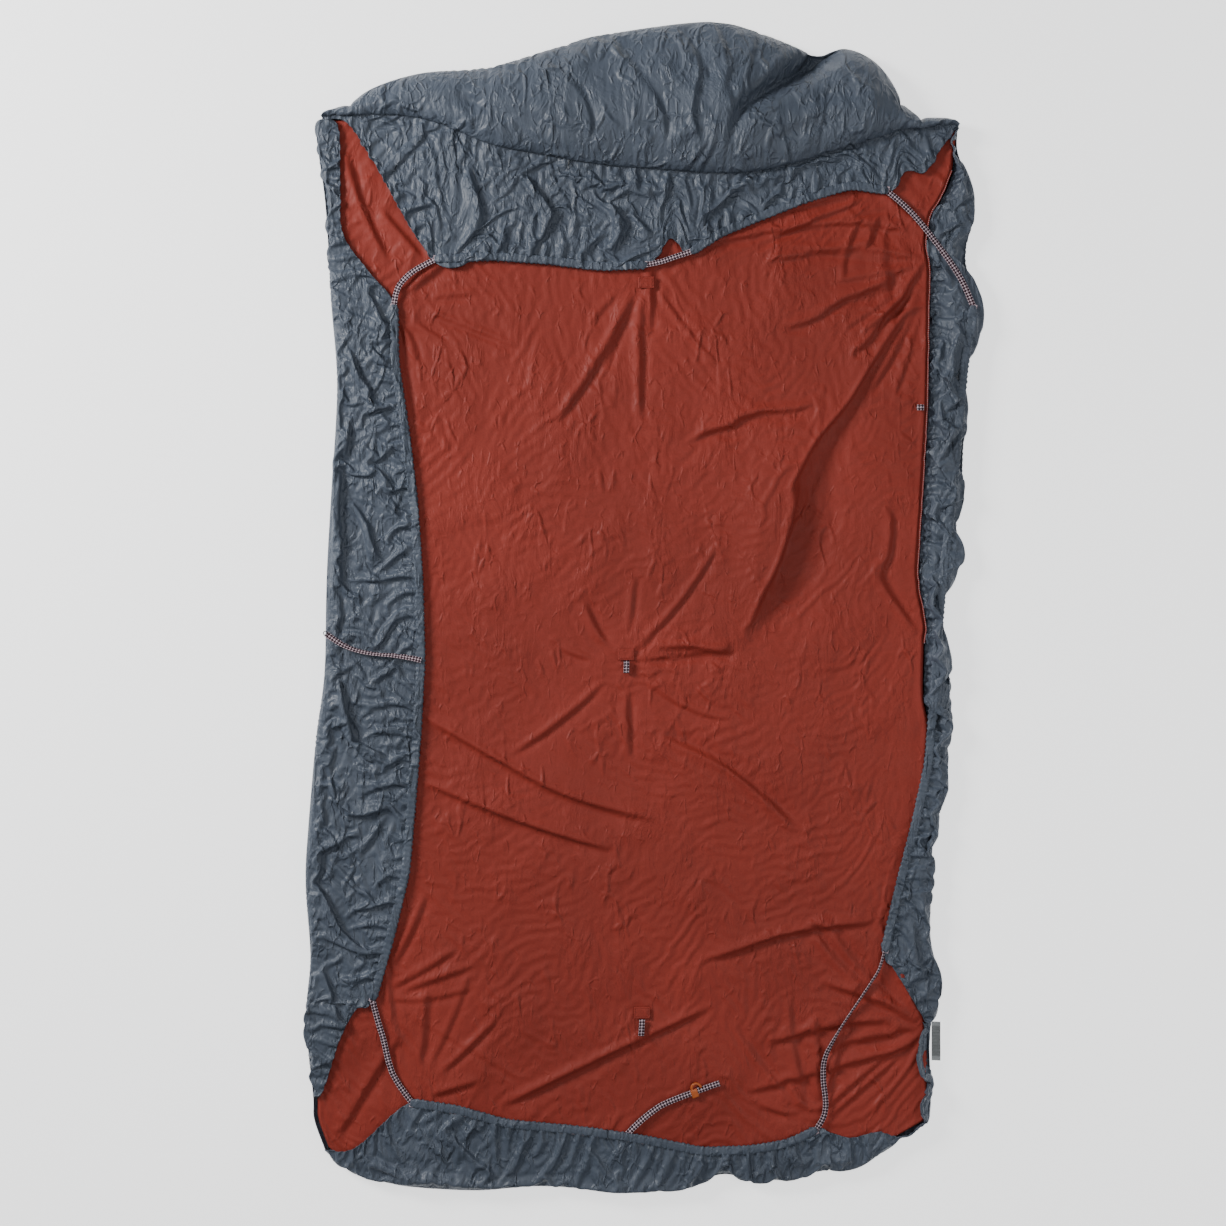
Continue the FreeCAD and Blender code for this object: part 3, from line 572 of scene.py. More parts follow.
def crease_height(tree, cell, turn, spread):
    """Fine creases: the edges between the cells of a stirred, stretched Voronoi pattern, broken by noise."""
    where = object_coords(tree, (1.0, 0.55, 1.0), (0, 0, turn))
    stir = add_node(tree, "ShaderNodeTexNoise", {"Vector": where, "Scale": 0.6 / cell, "Detail": 2.0})
    push = add_node(tree, "ShaderNodeVectorMath", {0: stir.outputs["Color"], "Scale": 0.9 * cell},
                    operation="SCALE")
    moved = add_node(tree, "ShaderNodeVectorMath", {0: where, 1: push.outputs[0]}, operation="ADD").outputs[0]
    cells = add_node(tree, "ShaderNodeTexVoronoi", {"Vector": moved, "Scale": 1 / cell},
                     feature="DISTANCE_TO_EDGE")
    line = ramp(tree, cells.outputs["Distance"], 1.0, 0.0, 0.0, 0.17)
    mask = ramp(tree, noise(tree, where, 0.8 / cell, 1.0), 0.0, 1.0, spread, spread + 0.2)
    return maths(tree, "MULTIPLY", line, mask)


def crinkled_cloth(name, colour, look, roughness, gloss, turn, spread):
    """Thin woven nylon: patchy tone, fine creases at three sizes, and the weave's own grain.

    look is the strength of the creases, and spread how rare they are, from 0.4 for everywhere to 0.6."""
    material, tree, shader = new_material(name)
    where = object_coords(tree)
    broad = noise(tree, where, 3.0, 3.0)
    fine = noise(tree, where, 260.0, 2.0)
    tone = mixed(tree, ramp(tree, broad, 0.0, 1.0, 0.3, 0.7), shade(colour, 0.90), shade(colour, 1.08))
    tone = mixed(tree, ramp(tree, fine, 0.0, 0.35, 0.35, 0.7), tone, shade(colour, 0.8))
    rough = ramp(tree, noise(tree, where, 40.0, 2.0), roughness - 0.07, roughness + 0.07, 0.3, 0.7)
    feed(tree, shader, {"Base Color": tone, "Roughness": rough, "Specular IOR Level": gloss,
                        "Sheen Weight": 0.02, "Sheen Roughness": 0.4})
    large = crease_height(tree, 0.034, turn, spread)
    small = crease_height(tree, 0.015, turn + 1.1, spread)
    ridged = noise(tree, object_coords(tree, (1, 0.4, 1), (0, 0, turn - 0.5)), 26.0, 4.0, 0.6, 0.6)
    patches = ramp(tree, noise(tree, where, 9.0, 1.0), 0.25, 1.0, spread - 0.1, spread + 0.15)
    normal = bump(tree, maths(tree, "MULTIPLY", ridged, patches), 0.009 * look)
    normal = bump(tree, large, 0.0026 * look, normal=normal)
    normal = bump(tree, small, 0.0011 * look, normal=normal)
    weave = add_node(tree, "ShaderNodeTexWave", {"Vector": object_coords(tree, (1, 1, 1), (0, 0, 0.02)),
                                                 "Scale": 260.0, "Distortion": 0.6, "Detail": 1.0},
                     wave_type="BANDS", bands_direction="X").outputs["Fac"]
    normal = bump(tree, weave, 0.00006, 0.6, normal)
    tree.links.new(normal, shader.inputs["Normal"])
    return material


def braided_tape(name, light, dark, cell):
    """Flat elastic: light and dark yarns crossing as small diamonds, each yarn raised, with darker edges."""
    material, tree, shader = new_material(name)
    uv = add_node(tree, "ShaderNodeUVMap", uv_map="along").outputs[0]
    parts = add_node(tree, "ShaderNodeSeparateXYZ", {0: uv})
    across, along = parts.outputs[0], parts.outputs[1]
    pitch = math.pi / cell
    first = maths(tree, "SINE", maths(tree, "MULTIPLY", maths(tree, "ADD", across, along), pitch))
    second = maths(tree, "SINE", maths(tree, "MULTIPLY", maths(tree, "SUBTRACT", along, across), pitch))
    crossing = maths(tree, "MULTIPLY", first, second)
    share = ramp(tree, crossing, 0.0, 1.0, -0.02, 0.22)
    blotch = ramp(tree, noise(tree, uv, 420.0, 1.0), 0.75, 1.1, 0.3, 0.7)
    tone = add_node(tree, "ShaderNodeMix", {0: 1.0}, data_type="RGBA", blend_type="MULTIPLY")
    tree.links.new(mixed(tree, share, dark, light), tone.inputs[6])
    grey = add_node(tree, "ShaderNodeCombineColor", {0: blotch, 1: blotch, 2: blotch}).outputs[0]
    tree.links.new(grey, tone.inputs[7])
    raised = maths(tree, "ABSOLUTE", crossing)
    feed(tree, shader, {"Base Color": tone.outputs[2], "Roughness": 0.8, "Specular IOR Level": 0.25,
                        "Normal": bump(tree, raised, 0.0006)})
    return material


def plain_material(name, colour, roughness, grain, distance, gloss=0.5, coat=0.0):
    """A moulded or sewn finish: one colour with faint blotches and a grain of its own size."""
    material, tree, shader = new_material(name)
    where = object_coords(tree)
    spots = ramp(tree, noise(tree, where, grain / 4, 2.0), 0.0, 1.0, 0.3, 0.7)
    tone = mixed(tree, spots, shade(colour, 0.86), shade(colour, 1.1))
    rough = ramp(tree, noise(tree, where, grain, 2.0), roughness - 0.08, roughness + 0.08)
    relief = bump(tree, noise(tree, where, grain, 3.0), distance)
    feed(tree, shader, {"Base Color": tone, "Roughness": rough, "Specular IOR Level": gloss,
                        "Coat Weight": coat, "Normal": relief})
    return material


def label_material(name, colour):
    """Thin woven label tape: pale turned-in ends, faint darker rows and a fine weave."""
    material = plain_material(name, colour, 0.65, 900, 0.00015, 0.35)
    tree = material.node_tree
    shader = tree.nodes["Principled BSDF"]
    low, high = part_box("care_label")
    y = add_node(tree, "ShaderNodeSeparateXYZ", {0: object_coords(tree)}).outputs[1]
    middle = maths(tree, "ABSOLUTE", maths(tree, "SUBTRACT", y, (low.y + high.y) / 2))
    end = ramp(tree, middle, 0.0, 1.0, (high.y - low.y) * 0.36, (high.y - low.y) * 0.42)
    rows = ramp(tree, maths(tree, "SINE", maths(tree, "MULTIPLY", y, 1100.0)), 0.0, 0.35, 0.2, 1.0)
    base = shader.inputs["Base Color"].links[0].from_socket
    inside = maths(tree, "MULTIPLY", rows, maths(tree, "SUBTRACT", 1.0, end))
    tone = mixed(tree, inside, base, shade(colour, 0.55))
    tree.links.new(mixed(tree, end, tone, shade(colour, 1.7)), shader.inputs["Base Color"])
    return material


# ------------------------------------------------------------------ the quilted body
LINING_FOLDS = [
    [(500, 582, 5), (456, 512, 8), (403, 435, 11), (353, 358, 14), (302, 297, 22), (265, 228, 33),
     (249, 167, 36), (230, 90, 33), (207, 30, 27), (188, -20, 20), (153, -60, 11)],
    [(302, 211, 9), (279, 172, 14), (255, 143, 16), (235, 85, 15), (211, 27, 10)],
    [(494, 619, 4), (475, 580, 6), (442, 536, 7), (403, 484, 8), (379, 459, 8), (351, 451, 5)],
    [(470, 599, 4), (409, 564, 6), (351, 542, 7), (307, 512, 6), (265, 496, 6), (235, 496, 4)],
    [(307, 363, 5), (265, 349, 6), (211, 344, 7), (172, 335, 9), (153, 321, 9), (111, 309, 7), (81, 286, 5)],
    [(414, 195, 5), (433, 157, 6), (428, 99, 7), (417, 52, 8), (456, -11, 6), (485, -53, 4)],
    [(15, -69, 6), (92, -64, 9), (139, -69, 8), (153, -45, 6)],
    [(-389, -186, 8), (-300, -235, 11), (-144, -318, 12), (31, -370, 8)],
    [(-389, -300, 8), (-214, -370, 12), (-39, -423, 7)],
    [(31, -221, 8), (153, -283, 10), (276, -388, 8)],
    [(-249, -869, 7), (-39, -764, 8), (136, -685, 6)],
    [(171, -843, 6), (363, -790, 8), (494, -755, 5)],
    [(206, -755, 7), (381, -720, 8), (494, -738, 5)],
    [(311, -650, 6), (416, -685, 8), (489, -729, 5)],
    [(101, -615, 7), (258, -563, 9), (416, -545, 6)],
    [(-22, 540, 5), (-80, 430, 7), (-153, 321, 6)],
    [(17, 601, 5), (15, 540, 6), (11, 470, 4)],
    [(-538, -930, 5), (-460, -800, 7), (-420, -740, 5)],
    [(-520, 800, 6), (-490, 700, 8), (-440, 600, 6)],
    [(-459, 697, 6), (-410, 640, 7), (-381, 606, 5)],
    [(415, 732, 5), (460, 690, 6), (503, 654, 5)],
    [(101, 636, 5), (328, 671, 7), (494, 654, 5)],
    [(206, 606, 6), (363, 627, 7), (494, 606, 5)],
]
# Where the lining is pulled: the point, the first and last bearing in degrees, and the number of small folds.
PULLS = [((505, 600), 180, 262, 9), ((503, -735), 115, 215, 10), ((425, 727), 195, 262, 5),
         ((-433, 530), -75, 25, 6), ((-471, -680), -50, 60, 6), ((301, -908), 60, 150, 6),
         ((-28, -90), 0, 315, 8), ((5, 600), 225, 285, 4), ((-400, -860), 20, 100, 5)]
FAN_RNG = np.random.default_rng(3)
for pull in PULLS:
    LINING_FOLDS += fan(*pull, FAN_RNG)
LINING_LEVEL = DECK - 2.5 * MM


def everywhere(slack, grid, amount, uneven, cell, rng):
    """Slack the same in all directions, changed from place to place by smooth noise."""
    for index in (0, 2):
        slack[..., index] += amount * (1 + uneven * wander(grid, cell, rng))
    slack[..., 1] += amount * uneven * wander(grid, cell, rng)
    return slack


def edges_held(shape, wall=0.0):
    """Holds a grid's outer points, and most of the way those in its first rows up to a share of them."""
    held = np.zeros(shape.shape[:2])
    held[:int(round(wall * shape.shape[0]))] = 0.93
    held[[0, -1]] = 1
    held[:, [0, -1]] = 1
    return held


def make_lining(sizes):
    """The red side with the fill under it: a Coons patch of the lining's four edges at the fill's height,
    with the main folds as relief, settled as cloth, then closed by a side wall and an underside."""

    def shape_at(rows, columns):
        left = through(plan((LEFT_EDGE + CORNER_EDGE[1:])[::-1]), rows)
        away = np.array([11, 3.5, 5, 11]) * MM
        grid = patch_inside(through(plan(FOOT_EDGE), columns), through(plan(RIDGE), columns), left,
                            through(plan(LINING_RIGHT), rows), away)
        relief = folds_over(grid, LINING_FOLDS, 0.42, 0.5)[0]
        swell = 1.2 * MM * wander(grid, 0.16, np.random.default_rng(5))
        level = np.full(grid.shape[:2], LINING_LEVEL) + np.clip(relief + swell, -11 * MM, 13 * MM)
        level[edges_held(grid) > 0] = DECK - 6 * MM
        return np.concatenate([grid, level[..., None]], -1)

    def slack_at(shape):
        slack = 0.05 * folds_over(shape, LINING_FOLDS, 0.42, 0.5)[1]
        return everywhere(slack, shape, sizes.lining_slack, 1.0, 0.10, np.random.default_rng(11))

    grid = drape(shape_at, slack_at, lambda shape: shape[..., 2] - 2 * MM, edges_held,
                 [(60, 34, 150, 0.35), (120, 68, 150, 0.55), (240, 136, 150, 0.8), (468, 264, 70, 1.0)],
                 np.random.default_rng(21), hold=0.004)
    grid = smoothed(grid, 1, 0.4)
    tapes = [through(plan(route), 60) for route in TAPE_ROUTES.values()]
    grid = pressed(grid, tapes, DECK - 0.5 * MM, 12 * MM)
    for node in ("head_patch", "centre_patch", "foot_patch", "centre_tie_loop", "foot_tie_loop",
                 "edge_tie_loop", "pull_hook"):
        low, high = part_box(node)
        middle = [((low.x + high.x) / 2, low.y), ((low.x + high.x) / 2, high.y)]
        grid = pressed(grid, [np.array(middle)], DECK - 0.4 * MM, (high.x - low.x) / 2 + 6 * MM)
    for name in HEM_LINES:
        grid = pressed(grid, [through(plan(HEM_LINES[name]), 80)], DECK - 0.5 * MM, 12 * MM)
    rings = [(-2.2 * MM, DECK - 9 * MM), (-3 * MM, DECK / 2), (-2.5 * MM, 5 * MM), (1 * MM, 2.5 * MM)]
    lining = closed_sheet("lining_cloth", grid, rings, True)
    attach(lining, "quilt")
    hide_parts("lining_panel", "insulation_batt")
    return lining


def make_shell_under():
    """The blue side that lies on the ground: a Coons patch of the whole outline with low creases, and a rim
    of cloth that stands up round the body."""
    rows, columns = 260, 150
    left = through(plan((LEFT_EDGE + CORNER_EDGE[1:])[::-1]), rows)
    grid = patch_inside(through(plan(FOOT_EDGE), columns), through(plan(HEAD_EDGE[::-1]), columns), left,
                        through(plan(RIGHT_EDGE), rows), np.full(4, 5 * MM))
    rng = np.random.default_rng(31)
    creases = sum(np.abs(wander(grid, cell, rng)) ** 0.7 * height
                  for cell, height in ((0.11, 1.0 * MM), (0.05, 0.7 * MM), (0.025, 0.4 * MM)))
    level = np.minimum(creases, 1.9 * MM) * (1 - edges_held(grid))
    grid = np.concatenate([grid, level[..., None]], -1)
    rings = [(-3.5 * MM, 3 * MM), (-4.6 * MM, 7 * MM), (-4.2 * MM, 12 * MM), (-3.2 * MM, 13.5 * MM),
             (-2.4 * MM, 12 * MM), (-2.2 * MM, 4 * MM), (2 * MM, 2.2 * MM)]
    under = closed_sheet("shell_under", grid, rings, False)
    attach(under, "quilt")
    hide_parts("outer_shell")
    return under


# ------------------------------------------------------------------ gathered flaps
# A flap is a strip from its outer edge to its inner one. Its wall is whether it climbs the body's side, size
# the (rows, columns) of its last grid but one, and tucked whether its inner edge goes down beside the lining.
HEM_LINES = {"head_hem_left": HEAD_HEM_LEFT, "head_hem_right": HEAD_HEM_RIGHT, "left_hem": LEFT_HEM,
             "right_hem": RIGHT_HEM, "foot_hem": FOOT_HEM}
# Profiles of a flap's first part, as (distance inward, level) in millimetres.
WALL = [(4.5, 1.5), (0.8, 5), (0, 11), (1.5, 17), (6, 22), (14, 25)]
NO_WALL = [(0, 25), (6, 26)]

LEFT_FLAP = {
    "name": "left_flap_cloth", "node": "left_flap", "wall": True, "size": (36, 320), "seed": 41,
    "outer": LEFT_EDGE[::-1],
    "inner": [(-573, -849), (-556, -836), (-528, -752), (-499, -698), (-471, -682)] + LEFT_HEM[-2::-1]
             + [(-475, 584), (-522, 652), (-527, 740), (-530, 835), (-556, 852)],
    "folds": [
        [(-503, 331, 8), (-522, 200, 11), (-527, 100, 11), (-529, 3, 8)],
        [(-487, 304, 6), (-459, 246, 9), (-435, 200, 9), (-417, 153, 5)],
        [(-503, 190, 6), (-482, 153, 8), (-468, 106, 8), (-463, 78, 5)],
        [(-510, 452, 6), (-477, 379, 9), (-435, 312, 6)],
        [(-482, 575, 7), (-445, 466, 10), (-438, 402, 6)],
        [(-530, -120, 7), (-500, -220, 9), (-440, -260, 6)],
        [(-560, -300, 8), (-500, -360, 10), (-430, -350, 6)],
        [(-570, -470, 8), (-520, -560, 10), (-470, -600, 6)],
        [(-560, -620, 8), (-530, -700, 8), (-505, -740, 5)],
    ],
}
FOOT_FLAP = {
    "name": "foot_flap_cloth", "node": "foot_flap", "wall": True, "size": (24, 230), "seed": 42,
    "outer": FOOT_EDGE,
    "inner": [(-552, -944), (-500, -938)] + FOOT_HEM + [(333, -914), (365, -921), (409, -911), (452, -920),
                                                        (496, -895)],
    "folds": [
        [(-500, -950, 5), (-430, -985, 7), (-350, -1000, 5)],
        [(-360, -890, 5), (-300, -950, 8), (-250, -990, 6)],
        [(-100, -930, 5), (-60, -980, 8), (-20, -1005, 5)],
        [(110, -960, 5), (90, -985, 7), (70, -1000, 5)],
        [(230, -950, 5), (300, -965, 7), (380, -955, 5)],
    ],
}
HEAD_FLAP = {
    "name": "head_flap_cloth", "node": "head_flap", "wall": False, "size": (54, 216), "seed": 43,
    "outer": RIDGE,
    "inner": [(-556, 852), (-515, 845), (-470, 780)] + HEAD_HEM_LEFT
             + [(24, 612), (40, 636), (50, 644), (62, 634), (74, 620)] + HEAD_HEM_RIGHT
             + [(458, 760), (493, 762), (519, 800), (548, 838)],
    "folds": [
        [(-524, 852, 5), (-402, 850, 7), (-311, 822, 9), (-242, 785, 10), (-144, 762, 10), (-83, 736, 10),
         (8, 727, 10), (106, 739, 7)],
        [(69, 648, 6), (129, 701, 9), (206, 746, 9), (388, 801, 7), (501, 823, 5)],
        [(-300, 640, 6), (-280, 700, 9), (-300, 770, 7)],
        [(-180, 640, 6), (-160, 690, 9), (-200, 750, 7)],
        [(-60, 620, 6), (-40, 670, 9), (-60, 715, 7)],
        [(10, 650, 6), (-20, 690, 9), (-90, 720, 6)],
        [(160, 660, 5), (200, 700, 7), (260, 740, 5)],
    ],
}
RIGHT_TURNOVER = {
    "name": "right_flap_turnover", "node": "right_flap", "wall": True, "size": (22, 110), "seed": 44,
    "outer": RIGHT_EDGE[3:10] + [(532, -220)],
    "inner": [(494, -722), (463, -669), (437, -627)] + RIGHT_HEM[:-5:-1] + [(508, -212)],
    "folds": [
        [(505, -690, 5), (480, -620, 7), (470, -540, 6)],
        [(497, -560, 5), (485, -480, 7), (490, -400, 5)],
    ],
}
RIGHT_BUNCH = {
    "name": "right_flap_bunch", "node": "right_flap", "wall": True, "size": (30, 260), "seed": 45,
    "tucked": True, "rests_on": "shell_under",
    "outer": [(506, -430)] + RIGHT_EDGE[9:],
    "inner": [(488, -430), (498, -258), (501, -204), (493, -151), (494, -60), (496, -25), (484, 50),
              (487, 130), (494, 234), (500, 354), (503, 529), (504, 592), (498, 636), (505, 685), (522, 713),
              (543, 762), (550, 835)],
    "folds": [
        [(535, 740, 8), (520, 640, 9), (530, 560, 9), (545, 480, 10), (530, 330, 9), (527, 200, 9)],
        [(560, 700, 7), (548, 600, 8), (570, 500, 8), (552, 380, 8), (542, 250, 8), (532, 120, 7)],
        [(515, 330, 6), (512, 200, 7), (505, 60, 8), (513, -60, 8), (515, -200, 7)],
        [(545, 110, 6), (528, 20, 7), (517, -60, 7), (528, -160, 6), (517, -280, 5)],
        [(520, 480, 6), (516, 400, 7), (522, 300, 6)],
    ],
}
RIGHT_FOOT_STRIP = {
    "name": "right_flap_strip", "node": "right_flap", "wall": True, "size": (14, 60), "seed": 46,
    "tucked": True, "rests_on": "shell_under",
    "outer": [(499, -897), (506, -843), (504, -795), (503, -750), (504, -722)],
    "inner": [(490, -893), (491, -843), (489, -795), (487, -750), (488, -722)],
    "folds": [
        [(500, -880, 3), (498, -840, 4), (496, -800, 3)],
        [(496, -790, 3), (499, -760, 4), (496, -735, 3)],
    ],
}


def flap_shape(flap, rows, columns):
    """A strip of cloth from an outer edge to a hem: up the body's side wall where it has one, then level.

    Across the strip, a point's distance from the outer edge and its level are read from the wall's profile,
    and beyond it they go in even steps to the hem."""
    outer = through(plan(flap["outer"]), columns)
    inner = through(plan(flap["inner"]), columns)
    reach = inner - outer
    width = np.maximum(np.linalg.norm(reach, axis=1), 0.1 * MM)
    wall = np.array(WALL if flap["wall"] else NO_WALL) * MM
    run = np.concatenate([[0], np.cumsum(np.linalg.norm(np.diff(wall, axis=0), axis=1))])
    length = run[-1] + np.maximum(width - wall[-1, 0], 8 * MM)
    where = np.linspace(0, 1, rows)[:, None] * length
    beyond = np.clip((where - run[-1]) / np.maximum(length - run[-1], TINY), 0, 1)
    away = np.interp(where, run, wall[:, 0]) + beyond * np.maximum(width - wall[-1, 0], 0)
    away = np.minimum(away, np.maximum(width, 1 * MM))
    end_level = 5 * MM if flap.get("tucked") else TAPE_LEVEL + 0.5 * MM
    middle = 9 * MM if flap.get("tucked") else 0
    level = np.interp(where, run, wall[:, 1])
    level = level + beyond**2 * (end_level - wall[-1, 1]) + middle * np.sin(math.pi * beyond) * (1 - beyond)
    place = outer + reach * (away / width)[..., None]
    return np.concatenate([place, level[..., None]], -1)


def cloth_area(grid):
    """Area of a grid of points: half the cross product of each cell's two diagonals, added up."""
    first, second = grid[1:, 1:] - grid[:-1, :-1], grid[1:, :-1] - grid[:-1, 1:]
    return 0.5 * np.linalg.norm(np.cross(first, second), axis=-1).sum()


def flat_cut(flap, sizes):
    """Width, length and area of a flap's cut before it is draped: those of its smooth strip, without folds,
    with the flap's slack added in both directions and, along it, the mean of the hem's gather, a quarter."""
    strip = flap_shape(flap, 40, 300)
    across, along = 1 + sizes.flap_slack, 1 + sizes.flap_slack + sizes.hem_gather / 4
    width = np.linalg.norm(np.diff(strip, axis=0), axis=-1).sum(0).max() * across
    length = np.linalg.norm(np.diff(strip, axis=1), axis=-1).sum(1).max() * along
    return width, length, cloth_area(strip) * across * along


def make_flap(flap, sizes):
    """One flap: its smooth strip with the main folds as relief, settled with more cloth along its hem than
    the hem is long, so that it gathers there."""
    tucked = flap.get("tucked", False)

    def shape_at(rows, columns):
        shape = flap_shape(flap, rows, columns)
        relief = folds_over(shape, flap["folds"], 0.55, 0.5)[0]
        top = np.linspace(0, 1, rows)[:, None] > 0.15
        shape[..., 2] = np.maximum(shape[..., 2] + np.clip(relief, -6 * MM, 12 * MM) * top, 1.5 * MM)
        return shape

    def slack_at(shape):
        slack = 0.06 * folds_over(shape, flap["folds"], 0.55, 0.5)[1]
        slack = everywhere(slack, shape, sizes.flap_slack, 0.8, 0.09,
                           np.random.default_rng(flap["seed"] + 100))
        along = np.gradient(shape[..., :2], axis=1)
        along /= np.linalg.norm(along, axis=-1, keepdims=True) + TINY
        gather = sizes.hem_gather * np.linspace(0, 1, shape.shape[0])[:, None] ** 3
        x, y = along[..., 0], along[..., 1]
        return slack + np.stack([x * x, x * y, y * y], -1) * gather[..., None]

    def floor_at(shape):
        lowest = DECK - (18 * MM if tucked else 0)
        across = np.linspace(0, 1, shape.shape[0])[:, None]
        wall_share = 0.2 if flap["wall"] else 0
        return np.where(across > wall_share, np.minimum(lowest + 1 * MM, shape[..., 2]), 1 * MM)

    def pins_at(shape):
        return edges_held(shape, 0.16 if flap["wall"] else 0)

    rows, columns = flap["size"]
    levels = [(max(rows // 4, 5), columns // 4, 120, 0.35), (max(rows // 2, 8), columns // 2, 120, 0.6),
              (rows, columns, 120, 0.85), (2 * rows, 2 * columns, 60, 1.0)]
    grid = drape(shape_at, slack_at, floor_at, pins_at, levels, np.random.default_rng(flap["seed"]),
                 hold=0.002)
    grid = smoothed(grid, 1, 0.35)
    for name, line in TAPE_ROUTES.items():
        level = (SIDE_TAPE_LEVEL if name == "left_side" else TAPE_LEVEL) - TAPE_THICKNESS / 2
        grid = pressed(grid, [through(plan(line), 60)], level - 0.4 * MM, 7 * MM)
    cloth = add_cloth(flap["name"], grid, 0.8 * MM)
    width, length, area = flat_cut(flap, sizes)
    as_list(flap.get("rests_on", "lining_cloth"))
    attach(cloth, "quilt")
    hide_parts(flap["node"])
    return cloth


BAFFLE_FOLDS = [
    [(-420, 880, 5), (-300, 885, 8), (-180, 850, 8), (-60, 820, 5)],
    [(-330, 900, 4), (-240, 860, 7), (-170, 810, 5)],
    [(-60, 990, 5), (-20, 930, 8), (30, 860, 6), (40, 800, 4)],
    [(60, 1000, 5), (95, 930, 9), (85, 850, 8), (110, 790, 5)],
    [(-180, 950, 4), (-120, 900, 8), (-90, 840, 6), (-100, 800, 4)],
    [(170, 960, 4), (140, 900, 7), (165, 850, 5)],
    [(250, 870, 4), (330, 900, 8), (400, 900, 5)],
    [(210, 810, 5), (290, 850, 8), (380, 860, 5)],
    [(300, 960, 4), (350, 920, 7), (420, 880, 4)],
] + fan((150, 850), 70, 250, 9, np.random.default_rng(4), (60, 240), (3, 7))


def make_baffle(sizes):
    """The puffed head end: D-shaped sections from the ridge, over a crest and down to the ground, with a
    valley between its two lobes, settled as cloth that is blown out from inside."""
    valley = through(plan([(318, 985), (290, 950), (239, 913), (190, 880), (167, 860), (150, 820)]), 40)
    section = [(0, 0), (0.05, 0.30), (0.22, 0.74), (0.45, 1.0), (0.7, 0.92), (0.9, 0.62), (0.985, 0.3),
               (1.0, 0.12), (0.985, 0.03), (0.95, 0.0)]
    crest_at = np.array([(-566, 0.34), (-470, 0.52), (-330, 0.70), (-120, 0.90), (90, 1.0), (200, 0.92),
                         (300, 0.78), (372, 0.84), (430, 0.66), (560, 0.34)])

    def shape_at(rows, columns):
        front, back = through(plan(RIDGE), columns), through(plan(HEAD_EDGE[::-1]), columns)
        profile = through(section, rows)
        crest = np.interp(front[:, 0], crest_at[:, 0] * MM * X_SCALE, crest_at[:, 1]) * sizes.baffle_height
        place = front + (back - front) * profile[:, :1, None]
        low = np.interp(profile[:, :1], (0, 0.5, 1), (DECK + 4 * MM, 6 * MM, 2 * MM))
        level = low + np.maximum(crest - 8 * MM, 6 * MM) * profile[:, 1:]
        distance, side, share = beside(place, valley)
        depth = np.interp(share, (0, 0.3, 0.7, 1), (44, 40, 24, 4)) * MM
        width = np.interp(share, (0, 0.5, 1), (24, 17, 10)) * MM * np.where(side > 0, 0.7, 1.3)
        cut = depth * np.exp(-(distance / width) ** 2)
        relief = folds_over(place, BAFFLE_FOLDS, 0.35, 0.5)[0]
        level = level + (relief - cut) * np.clip(level / (40 * MM), 0, 1)
        level = np.maximum(level, 2 * MM)
        return np.concatenate([place, level[..., None]], -1)

    def slack_at(shape):
        return everywhere(np.zeros(shape.shape[:2] + (3,)), shape, sizes.baffle_slack, 0.7, 0.08,
                          np.random.default_rng(53))

    def blown(start):
        across, down = np.gradient(start, axis=1), np.gradient(start, axis=0)
        normal = np.cross(across, down)
        normal /= np.linalg.norm(normal, axis=-1, keepdims=True) + TINY
        return normal * PUFF_PUSH

    grid = drape(shape_at, slack_at, lambda shape: np.full(shape.shape[:2], 1.5 * MM), edges_held,
                 [(24, 72, 120, 0.4), (48, 144, 120, 0.65), (96, 288, 120, 0.85), (150, 450, 50, 1.0)],
                 np.random.default_rng(51), push=blown, hold=0.006)
    grid = smoothed(grid, 1, 0.35)
    puff = closed_sheet("head_baffle_puff", grid, [(3 * MM, 2 * MM)], True)
    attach(puff, "quilt")
    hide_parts("head_baffle_shell", "head_baffle_fill")
    return puff


def make_hem(name, line, rng):
    """A tunnel of shell cloth round its elastic: an oval section along the hem, its bends rounded by a moving
    mean, swelling and pinching at the gathers by a sum of sines and noise."""
    step, gather = 2.2 * MM, 9 * MM
    corners = 20
    count = int(np.linalg.norm(np.diff(plan(line), axis=0), axis=1).sum() / step)
    route = evenly(plan(line), count)
    longer = np.concatenate([2 * route[:1] - route[8:0:-1], route, 2 * route[-1:] - route[-2:-10:-1]])
    route = sum(longer[k:k + count] for k in range(17)) / 17
    place = np.column_stack([route, np.full(count, TAPE_LEVEL)])
    section = oval(15 * MM, 6.6 * MM, corners, 3.2)
    run = np.arange(count)[:, None] * step
    phase = np.cumsum(rng.normal(0, 0.35, count))[:, None]
    turn = np.linspace(0, 2 * math.pi, corners, endpoint=False)[None]
    swell = 0.13 * np.sin(2 * math.pi * run / gather + phase + 0.6 * np.sin(turn))
    puff = np.maximum(1 + swell + 0.05 * rng.normal(0, 1, (count, corners)), 0.93)
    ends = np.minimum(np.arange(count), np.arange(count)[::-1])[:, None]
    puff *= np.interp(ends, (0, 3), (0.55, 1))
    place[:, :2] += rng.normal(0, 0.12 * MM, (count, 2))
    hem = swept(name + "_tunnel", place, section, puff=puff)
    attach(hem, "quilt")
    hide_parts(name)
    return hem


# ------------------------------------------------------------------ elastics
# How far each free tape is rolled on its edge, as (share of its length, degrees).
TAPE_ROLLS = {
    "left_side": [(0, 10), (0.3, 50), (0.6, 60), (1, 25)],
    "head_left": [(0, 5), (1, 12)],
    "head_right": [(0, 0), (0.4, 8), (1, -5)],
    "head_centre": [(0, 20), (1, 5)],
    "foot_left": [(0, 20), (0.5, 10), (1, 25)],
    "foot_right": [(0, 55), (0.45, 60), (0.65, 20), (1, 5)],
    "foot_pull": [(0, 20), (0.5, 5), (1, 0)],
}


